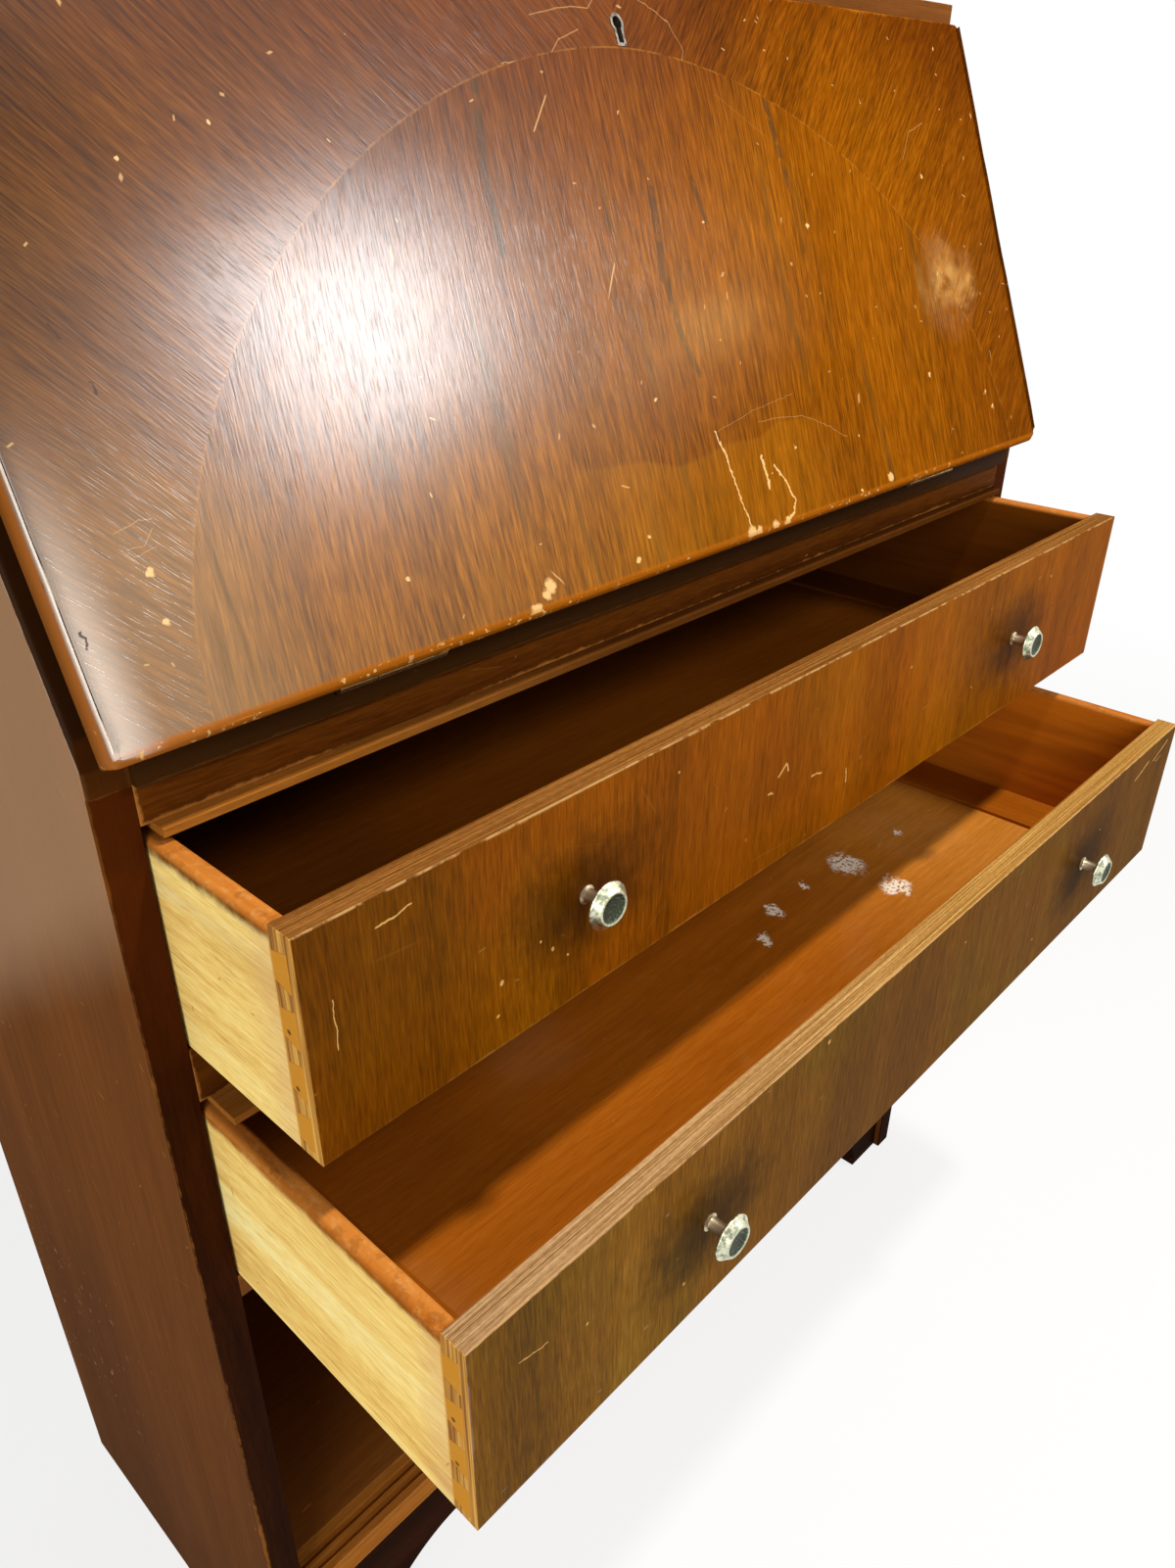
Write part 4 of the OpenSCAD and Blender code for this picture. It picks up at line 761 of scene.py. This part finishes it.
def fallFinish(name, angle, seed, part):
    half = fallSize.x / 2
    finish = newFinish(name)
    spot = finish.seenFrom(finish.spot(), tuple(hingeLine), (slope, 0, 0))
    woodFigure(finish, grainFrame(finish, spot, angle), woods["fall"], seed)
    x, s, n = finish.parts(spot)  # across, up the slope and out of the face
    cloudy = finish.noise(spot, 5, 3, 0.55, (0.4, 0.2, 0))
    ragged = raggedEdge(finish, spot)
    # redder on the left, golden on the right
    golden = finish.rise(x + (cloudy - 0.5) * 0.4, -0.36, 0.22)
    finish.stain(1 - golden, fallShades["left"])
    # painted shade: darker toward the top of the fall
    upper = finish.rise(s + (cloudy - 0.5) * 0.1 - finish.rise(x, 0.0, 0.2) * 0.07, 0.13, 0.27)
    finish.stain(upper, fallShades["upper"])
    finish.stain(finish.rise(x, 0.22, 0.36) * 0.6, fallShades["rightEnd"])
    # painted shade high on the far left, and a painted reflection low on the far left
    leftEnd = finish.drop(x, -0.36, -0.26)
    raised = finish.rise(s, 0.06, 0.16)
    finish.stain(leftEnd * raised, fallShades["leftEnd"])
    finish.paint(leftEnd * (1 - raised) * 0.24, fallShades["paintedReflection"])
    # painted light: lighter low to the left of the middle, the lower flank of the highlight
    leftLow = finish.drop(x, -0.16, -0.03) * (1 - leftEnd * 0.7) * finish.drop(s, 0.06, 0.13)
    finish.stain(leftLow, fallShades["leftLow"])
    olive = finish.rise(finish.noise(spot, (7, 3.5, 7), 3, 0.6, (1.7, 0.4, 0)), 0.5, 0.68)
    finish.stain(olive * 0.35, fallShades["olive"])
    if part == "veneer_arch":
        archFigure(finish, x, s, cloudy, ragged)
    # glue line round the arch
    full = fallPlan["archFullness"]
    power = [finish.add("Math", {"operation": "POWER"}, (abs(v) / size, full))
             for v, size in ((x, fallPlan["archHalf"]), (s, fallPlan["archHeight"]))]
    ring = finish.near(power[0] + power[1], 1.0, 0.0045) * finish.rise(ragged, 0.35, 0.6)
    finish.paint(ring * 0.22, fallShades["glueLine"])
    # rubbed rim, with the core on its outside
    arris = edgeDistance(finish, spot, (-half, 0, 0), (half, fallSize.y, fallSize.z))
    patchy = finish.noise(spot, 14)
    rubbed = finish.drop(arris + (0.6 - ragged) * 0.006 + (0.5 - patchy) * 0.007, 0, 0.0030)
    finish.paint(rubbed * 0.5, fallShades["rubbed"])
    edge = finish.most(finish.drop(n, 0.0150, 0.0170), finish.drop(s, 0.0040, 0.0065))
    finish.paint(edge * 0.75, finish.tint(finish.rise(n, 0.002, 0.013), *fallShades["core"]))
    # painted highlight: a soft glow low along the left edge and a thin bright line on the left arris
    glow = finish.drop(x, 0.002 - half, 0.024 - half) * finish.drop(s, 0.02, 0.13)
    bright = finish.near(x, 0.0011 - half, 0.0009) * 0.5
    finish.paint(finish.most(glow * 0.45, bright) * finish.rise(n, 0.0160, 0.0172), fallShades["bright"])
    # chips along the lower edge and over the face, with scratches and dark marks
    crumble = finish.add("TexNoise", inputs={"Vector": spot, "Scale": 260, "Detail": 2}, out=1)
    flat = finish.add("VectorMath", {"operation": "MULTIPLY_ADD"},
                      (crumble, (0.0048, 0.0048, 0.0), finish.vector(x - 0.0024, s - 0.0024, 0.0)))
    wavy = finish.vector(x + (ragged - 0.5) * 0.003, s + (ragged - 0.5) * 0.003, 0.0)
    crumbs = finish.rise(finish.noise(spot, 240, 2, 0.6, (2, 1, 0)), 0.60, 0.66)
    lowerRim = finish.drop(s, 0.0035, 0.0055) * finish.rise(n, 0.010, 0.0145)
    chips = finish.most(crumbs * lowerRim * finish.rise(patchy, 0.40, 0.55), marksAt(
        finish, flat, [line for line in fallStrokes if onPiece(part, line[1][1])],
        [chip for chip in fallChips if onPiece(part, chip)]))
    chips = chips * finish.rise(n, 0.013, 0.0145)
    finish.paint(chips * 0.92, bareChip)
    thin = marksAt(finish, wavy, [line for line in fallScratches if onPiece(part, line[1][1])])
    long, short = (nicks(finish, spot, *fallMarks[kind]) for kind in ("long", "short"))
    marks = finish.least(long * 0.12 + short * 0.8, 1.0)
    finish.paint(finish.most(marks, thin * 0.45) * 0.7, fallShades["scratches"])
    dark = marksAt(finish, flat, [line for line in fallDarkMarks if onPiece(part, line[1][0])])
    finish.paint(dark * 0.9, fallShades["darkMarks"])
    # the polish is whole to the left of the middle and in two patches, thin elsewhere
    swell = finish.noise(spot, 22)
    worn = finish.rise(x - finish.rise(s, 0.0, 0.12) * 0.16, -0.38, 0.0)
    thick = (1 - worn * 0.99) * (1 - finish.rise(s, 0.15, 0.22) * 0.5) * (1 - leftEnd * raised * 0.45)
    sound = marksAt(finish, flat, places=fallPlan["sound"])
    patches = sound * finish.rise(swell, 0.30, 0.65) * finish.rise(ragged, 0.25, 0.65)
    finish.shine = finish.most(thick, patches * 0.17) * (1 - edge * 0.9)
    finish.rough = woods["fall"]["gloss"] + cloudy * 0.06 + rubbed * 0.15 + chips * 0.3 - 0.03 - sound * 0.05
    grain = finish.bump(finish.height * 1.3 - marks * 0.12, 0.00005, 0.6)
    return polish(finish, finish.bump(swell, 0.0003, 0.15, grain), 0.64, (0.97, 0.99, 1.0, 1))


def drawnIn(radius, n):  # how far a rounding has drawn the outline in at a height
    return radius - math.sqrt(max(radius ** 2 - max(n - fallSize.z + radius, 0) ** 2, 0))


close = 0.00001  # places nearer than this are one


def cutRim(form, plan):  # the edge loops that the rounding and the dents need
    cell, steps = plan["cell"], plan["steps"]
    cuts = [((0, 0, fallSize.z - radius * (1 - math.sin(math.pi / 2 * k / steps))), (0, 0, 1))
            for radius in plan["rim"].values() for k in range(steps)]
    cuts += [((k * cell, 0, 0), (1, 0, 0)) for k in range(-plan["columns"], plan["columns"] + 1)]
    cuts += [((0, plan["firstRow"] + k * cell, 0), (0, 1, 0)) for k in range(plan["rows"])]
    for place, facing in cuts:
        bmesh.ops.bisect_plane(form, geom=form.verts[:] + form.edges[:] + form.faces[:], dist=1e-6,
                               plane_co=place, plane_no=facing)


def shadeSmooth(form, sharp):  # smooth faces, with edges kept above an angle in degrees
    for face in form.faces:
        face.smooth = True
    for edge in form.edges:
        edge.smooth = not (edge.is_manifold and edge.calc_face_angle(0) > math.radians(sharp))


def roundedPiece(node, plan):  # the solid's own mesh, rounded along the rim of the face
    mesh = nodes[node].data.copy()
    mesh.transform(fallFrame.inverted())
    mesh.materials.clear()
    mesh.attributes.remove(mesh.attributes["custom_normal"])
    form = bmesh.new()
    form.from_mesh(mesh)
    bmesh.ops.remove_doubles(form, verts=form.verts, dist=close)
    bmesh.ops.dissolve_limit(form, angle_limit=math.radians(0.5), verts=form.verts, edges=form.edges)
    half, top, thick = fallSize.x / 2, fallSize.y, fallSize.z
    corner = plan["corner"]
    corners = [e for e in form.edges if all(
        abs(abs(v.co.x) - half) < close and min(v.co.y, top - v.co.y) < close for v in e.verts)]
    if corners:
        bmesh.ops.bevel(form, geom=corners, offset=corner, segments=4, profile=0.5, affect="EDGES")
    cutRim(form, plan)
    highest = thick - max(plan["rim"].values())
    for vertex in form.verts:
        x, s, n = vertex.co
        if n < highest:
            continue
        rim = min(half - abs(x), s, top - s) < close
        atCorner = abs(x) > half - corner - 1e-6 and min(s, top - s) < corner + 1e-6
        knock = max(clouds.noise(Vector((x * plan["knockSize"], s * plan["knockSize"], 3))) - 0.1, 0)
        knock = knock * plan["knocks"] * (n - highest) / (thick - highest) * 3 if rim or atCorner else 0
        aside = drawnIn(plan["rim"]["side"], n) + knock
        foot, head = drawnIn(plan["rim"]["foot"], n) + knock, aside
        if atCorner:
            vertex.co.x -= math.copysign(aside, x)
            vertex.co.y += foot if s < top / 2 else -head
        else:
            vertex.co.x = max(-half + aside, min(half - aside, x))
            vertex.co.y = max(foot, min(top - head, s))
    bmesh.ops.remove_doubles(form, verts=form.verts, dist=0.00002)
    shadeSmooth(form, 35)
    form.to_mesh(mesh)
    form.free()
    mesh.transform(fallFrame)
    piece = newPiece(node.replace("_", "") + "Round", mesh)
    even = piece.modifiers.new("even", "WEIGHTED_NORMAL")
    even.keep_sharp = True
    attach(piece, "fall")
    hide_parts(node)
    return piece


for node, angle in fallPlan["grain"].items():
    seed = (len(node) * 0.21, 0.13 * len(node), 0)
    piece = roundedPiece(node, fallPlan)
    dress(piece, fallFinish(node.replace("_", " "), angle, seed, node))
    "walnut_veneer" if "veneer" in node else "walnut_polish"
print("fall finished")


# Metal: bright colour, tarnish and roughness of each

metals = {
    "brass": ((0.48, 0.34, 0.15), (0.20, 0.14, 0.07), 0.34),
    "steel": ((0.42, 0.41, 0.39), (0.20, 0.17, 0.13), 0.38),
    "keyhole steel": ((0.20, 0.18, 0.15), (0.07, 0.055, 0.04), 0.42),
}


def coverMetal(finish, normal):
    return finish.cover(finish.add("BsdfPrincipled", inputs={
        "Base Color": finish.colour, "Roughness": finish.rough, "Normal": normal, "Metallic": 1.0}))


def metalFinish(name, colour, tarnish, rough):
    finish = newFinish(name)
    spot = finish.spot()
    cloud = finish.noise(spot, 160, 4, 0.65)
    fine = finish.noise(spot, 1300, 3, 0.6)
    mask = finish.rise(cloud, 0.42, 0.66)
    finish.colour = finish.tint(mask, colour, tarnish)
    finish.rough = rough + mask * 0.25
    return coverMetal(finish, finish.bump(fine * 0.6 + cloud, 0.00016, 0.5))


brass, steel, keyholeSteel = (metalFinish(name, *plan) for name, plan in metals.items())

for node in ("floor_hinge_leaves", "fall_hinge_leaves", "stay_side_plates", "stay_fall_brackets",
             "lock_case", "lock_bolt", "lock_striker", "left_rear_arm", "right_rear_arm",
             "left_front_arm", "right_front_arm"):
    dress(nodes[node], brass)
dress(nodes["hinge_pins"], steel)
dress(nodes["keyhole_liner"], keyholeSteel)


# Screws: slotted heads in place of the plain ones

screwPlan = {
    "sides": 24,
    "slotHalf": 0.16, "slotDepth": 0.28, "roundedRim": 0.06,  # shares of the head's radius
    "turn": 1.37,  # from the slot of one screw to the next, in radians
}


def islands(form):  # the corners of each separate screw, in the same order on each run
    seen = set()
    for first in form.verts:
        if first in seen:
            continue
        seen.add(first)
        group = [first]
        for vertex in group:  # the group grows while it is walked
            beside = [link.other_vert(vertex) for link in vertex.link_edges]
            fresh = [other for other in beside if other not in seen]
            seen.update(fresh)
            group.extend(fresh)
        yield [vertex.co.copy() for vertex in group]


def screwShape(points):  # axis, middle of the head's end, length, radii of shank and head
    centre = sum(points, Vector()) / len(points)
    far = max(points, key=lambda p: (p - centre).length)
    other = max(points, key=lambda p: (p - far).length)
    axis = (other - far).normalized()
    for _ in range(3):  # settle the axis on the middles of the two end rings
        spread = [(p - far).dot(axis) for p in points]
        low, high = min(spread), max(spread)
        rings = [[p for p, place in zip(points, spread) if abs(place - level) < (high - low) * 0.12]
                 for level in (low, high)]
        ends = [sum(ring, Vector()) / len(ring) for ring in rings]
        axis = (ends[1] - ends[0]).normalized()
    width = [max(((p - e) - axis * (p - e).dot(axis)).length for p in ring) for e, ring in zip(ends, rings)]
    if width[0] > width[1]:
        axis, ends, width = -axis, ends[::-1], width[::-1]
    reach = [(p - ends[1]).dot(axis) for p in points]
    return axis, ends[1] + axis * (max(reach) - 1e-6), max(reach) - min(reach), *width


def cutSlot(form, face, place, head):
    half, turned, inverse = head * screwPlan["slotHalf"], place.to_3x3(), place.inverted()
    faces = [face]
    for level in (half, -half):
        geometry = faces + [e for f in faces for e in f.edges] + [v for f in faces for v in f.verts]
        cut = bmesh.ops.bisect_plane(
            form, geom=list(dict.fromkeys(geometry)), dist=1e-7,
            plane_co=place @ Vector((0, level, 0)), plane_no=turned @ Vector((0, 1, 0)))
        faces = [f for f in cut["geom"] if isinstance(f, bmesh.types.BMFace)]
    middle = [f for f in faces if abs((inverse @ f.calc_center_median()).y) < half * 0.5]
    deep = bmesh.ops.extrude_face_region(form, geom=middle)
    bmesh.ops.delete(form, geom=middle, context="FACES_ONLY")
    bmesh.ops.translate(form, verts=[v for v in deep["geom"] if isinstance(v, bmesh.types.BMVert)],
                        vec=turned @ Vector((0, 0, -head * screwPlan["slotDepth"])))


def slottedScrew(form, points, turn):
    axis, tip, length, shank, head = screwShape(points)
    axis = Vector([round(part, 5) + 0.0 for part in axis])  # a hair's tilt or a minus zero swings the slot
    turned = axis.to_track_quat("Z", "X").to_matrix().to_4x4() @ Matrix.Rotation(turn, 4, "Z")
    place = Matrix.Translation(tip) @ turned
    sides, sink = screwPlan["sides"], min(head - shank, length * 0.4)
    profile = [(head * 0.97, 0), (head, -head * screwPlan["roundedRim"]), (shank, -sink),
               (shank, -length * 0.92), (shank * 0.4, -length)]
    rings = [[form.verts.new(place @ Vector((r * math.cos(a), r * math.sin(a), h)))
              for a in (2 * math.pi * k / sides for k in range(sides))] for r, h in profile]
    for upper, lower in zip(rings, rings[1:]):
        for k in range(sides):
            form.faces.new((upper[k], lower[k], lower[(k + 1) % sides], upper[(k + 1) % sides]))
    form.faces.new(rings[-1])
    cutSlot(form, form.faces.new(rings[0][::-1]), place, head)


def screwSet(node, body, material, slotName):
    source = bmesh.new()
    source.from_mesh(nodes[node].data)
    bmesh.ops.remove_doubles(source, verts=source.verts, dist=close)
    groups = sorted(islands(source), key=lambda g: tuple(round(c, 4) for c in min(g, key=lambda p: p.x)))
    source.free()
    form = bmesh.new()
    for k, points in enumerate(groups):
        slottedScrew(form, points, k * screwPlan["turn"])
    bmesh.ops.recalc_face_normals(form, faces=form.faces)
    mesh = bpy.data.meshes.new(node)
    form.to_mesh(mesh)
    form.free()
    piece = newPiece(node.replace("_", "") + "Slotted", mesh)
    dress(piece, material)
    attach(piece, body)
    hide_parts(node)


for node, body, material, slotName in (
        ("case_screws", "case", brass, "brass"), ("fall_screws", "fall", brass, "brass"),
        ("back_screws", "case", steel, "steel"), ("upper_knob_screws", "upper_drawer", steel, "steel"),
        ("lower_knob_screws", "lower_drawer", steel, "steel")):
    screwSet(node, body, material, slotName)
print("screws cut")


# Knobs: turned from one profile, worn and dished

knobPlan = {
    "heights": {"upper": 0.6675, "lower": 0.5202},
    "faces": {drawer: frontPlane - out for drawer, out in drawnOut.items()},
    "sides": 72, "dents": 0.06,
    "rim": (9, 12.2),  # dents start past this radius and this far out, in millimetres
    # radius and distance out of the drawer front, in millimetres
    "profile": [
        (2.0, 0), (4.7, 0), (4.85, 0.3), (4.8, 0.9), (4.3, 1.25), (3.6, 1.7), (3.45, 2.4), (3.45, 9.9),
        (3.7, 10.7), (4.8, 11.6), (6.4, 12.0), (10.8, 12.25), (11.7, 12.4), (12.0, 12.8), (12.0, 13.4),
        (11.8, 13.75), (11.2, 14.15), (10.2, 15.35), (9.2, 16.6), (8.75, 17.1), (8.45, 17.42), (8.05, 17.5),
        (7.6, 17.45), (7.25, 17.2), (7.0, 16.85), (6.2, 16.5), (5.0, 16.2), (3.4, 15.95), (1.6, 15.82),
        (0, 15.8),
    ],
    "metal": ((0.74, 0.74, 0.56), (0.44, 0.46, 0.30)),
    "cone": (0.20, 0.22, 0.15), "dish": (0.045, 0.055, 0.035), "stem": (0.60, 0.46, 0.30),
}


def knobFinish(drawer):
    finish = newFinish(drawer + " knob metal")
    spot = finish.spot()
    x, y, z = finish.parts(spot)
    height, face = knobPlan["heights"][drawer], knobPlan["faces"][drawer]
    radial = finish.measure("LENGTH", finish.vector(abs(x) - knobOffset, 0.0, z - height))
    out = face - y
    cloud = finish.noise(spot, 330, 4, 0.7)
    fine = finish.noise(spot, 1500, 3, 0.65)
    flecks = finish.rise(fine, 0.56, 0.68)
    dish = finish.drop(radial, 0.0070, 0.0076) * finish.rise(out, 0.0145, 0.0150)
    cone = finish.rise(radial, 0.0085, 0.0092) * finish.rise(out, 0.0125, 0.0136)
    stem = finish.drop(out, 0.0095, 0.0110)
    finish.colour = finish.tint(finish.rise(cloud, 0.40, 0.62), *knobPlan["metal"])
    finish.paint(cone * finish.rise(cloud, 0.44, 0.60) * 0.8, knobPlan["cone"])
    finish.paint(dish * (1 - flecks * 0.6), knobPlan["dish"])
    finish.paint(stem * 0.8, knobPlan["stem"])
    finish.rough = 0.26 + cloud * 0.2 + dish * 0.12
    return coverMetal(finish, finish.bump(fine * (0.3 + dish * 1.2) + cloud * 0.8, 0.00022, 0.6))


def turnKnobs(drawer, plan):
    form = bmesh.new()
    for side in (-1, 1):
        centre = Vector((side * knobOffset, plan["faces"][drawer], plan["heights"][drawer]))
        rings = []
        for radius, out in plan["profile"]:
            ring = []
            for k in range(plan["sides"] if radius else 1):
                turn = 2 * math.pi * k / plan["sides"]
                around = Vector((math.cos(turn), 0, math.sin(turn)))
                knock = clouds.noise(around * 5 + Vector((side * 7, out * 0.4, centre.z * 40)))
                onRim = radius > plan["rim"][0] and out > plan["rim"][1]
                worn = 1 - max(knock - 0.1, 0) * plan["dents"] if onRim else 1
                ring.append(form.verts.new(centre + (around * radius * worn - Vector((0, out, 0))) * 0.001))
            rings.append(ring)
        for inner, outer in zip(rings, rings[1:]):
            for k in range(plan["sides"]):
                after = (k + 1) % plan["sides"]
                beyond = (outer[0],) if len(outer) == 1 else (outer[after], outer[k])
                form.faces.new((inner[k], inner[after], *beyond))
        form.faces.new(rings[0])
    bmesh.ops.recalc_face_normals(form, faces=form.faces)
    shadeSmooth(form, 42)
    mesh = bpy.data.meshes.new(drawer + "Knobs")
    form.to_mesh(mesh)
    form.free()
    piece = newPiece(drawer + "KnobsTurned", mesh)
    dress(piece, knobFinish(drawer))
    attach(piece, drawer + "_drawer")
    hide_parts(drawer + "_knobs")


for drawer in ("upper", "lower"):
    turnKnobs(drawer, knobPlan)
print("knobs turned")


# Glass

glassPlan = {
    "tint": (0.93, 0.98, 0.96), "index": 1.5, "smears": 0.08,
    "body": 0.4,  # the rest passes straight, as does the light of the lamps
}


def glassFinish(plan):
    finish = newFinish("door glass")
    smear = finish.rise(finish.noise(finish.spot(), (9, 9, 30), 3, 0.6), 0.45, 0.8)
    return finish.cover(finish.add("BsdfPrincipled", inputs={
        "Base Color": plan["tint"], "Roughness": smear * plan["smears"] + 0.01, "IOR": plan["index"],
        "Transmission Weight": 1.0, "Alpha": plan["body"]}))


glass = glassFinish(glassPlan)
for node in ("front_glass_door", "rear_glass_door"):
    dress(nodes[node], glass)
print("metal and glass finished")


# Floor, world and lamps

studio = {
    "ambient": 0.22,
    "floorColour": (0.86, 0.86, 0.85), "floorReach": 8, "floorDrop": 0.0005,
    "lamps": {  # place, aim, size, power and colour
        "softbox": ((1.165, -1.60, 2.06), (-0.227, -0.022, 0.897), 0.50, 22, (0.97, 0.965, 0.98)),
        "overhead": ((0.20, -0.66, 2.45), (0.0, -0.16, 0.5), 0.12, 35, (1.0, 0.93, 0.84)),
        "leftFill": ((-2.1, -1.3, 1.3), (-0.38, -0.2, 0.5), 1.2, 34, (1.0, 0.95, 0.88)),
        "rightSpot": ((2.234, -0.871, 1.458), (0.285, -0.028, 0.881), 0.08, 3.0, (1.0, 0.60, 0.16)),
        "middleSpot": ((1.776, -1.141, 1.621), (0.029, -0.030, 0.877), 0.08, 1.2, (1.0, 0.60, 0.16)),
    },
}


def lookedAt(finish):  # 1 for the camera's own rays and for what metal and glass show
    path = finish.add("LightPath").socket.node
    rays = [Wire(finish, path.outputs["Is %s Ray" % kind]) for kind in ("Camera", "Glossy", "Transmission")]
    return finish.least(rays[0] + rays[1] + rays[2], 1.0)


def makeFloor(colour, reach, drop):
    corners = [(x * reach, y * reach, -drop) for x, y in ((-1, -1), (1, -1), (1, 1), (-1, 1))]
    mesh = bpy.data.meshes.new("floor")
    mesh.from_pydata(corners, [], [(0, 1, 2, 3)])
    floor = newPiece("floor", mesh)
    finish = newFinish("floor")
    away = finish.measure("LENGTH", finish.spot())
    white = lookedAt(finish) * (0.80 + 0.20 * finish.rise(away, 0.8, 2.4))
    matt = finish.add("BsdfDiffuse", inputs={"Color": colour})
    glow = finish.add("Emission", inputs={"Color": (1, 1, 1), "Strength": 1.0})
    dress(floor, finish.cover(finish.add("MixShader", inputs=(white, matt, glow))))


def makeWorld(strength):
    world = Finish(bpy.data.worlds.new("studio"))
    bpy.context.scene.world = world.owner
    soft = world.add("Background", inputs={"Color": (1, 0.97, 0.93), "Strength": strength})
    white = world.add("Background", inputs={"Color": (1, 1, 1), "Strength": 1.0})
    world.cover(world.add("MixShader", inputs=(lookedAt(world), soft, white)), "OutputWorld")


def makeLamp(name, place, aim, size, power, colour):
    data = bpy.data.lights.new(name, "AREA")
    data.shape, data.size, data.energy, data.color = "SQUARE", size, power, colour
    lamp = newPiece(name, data)
    lamp.location = place
    lamp.rotation_mode = "QUATERNION"
    lamp.rotation_quaternion = (Vector(aim) - Vector(place)).to_track_quat("-Z", "Y")


makeFloor(studio["floorColour"], studio["floorReach"], studio["floorDrop"])
makeWorld(studio["ambient"])
for name, plan in studio["lamps"].items():
    makeLamp(name, *plan)
bpy.context.scene.view_settings.view_transform = "Standard"
print("studio ready")
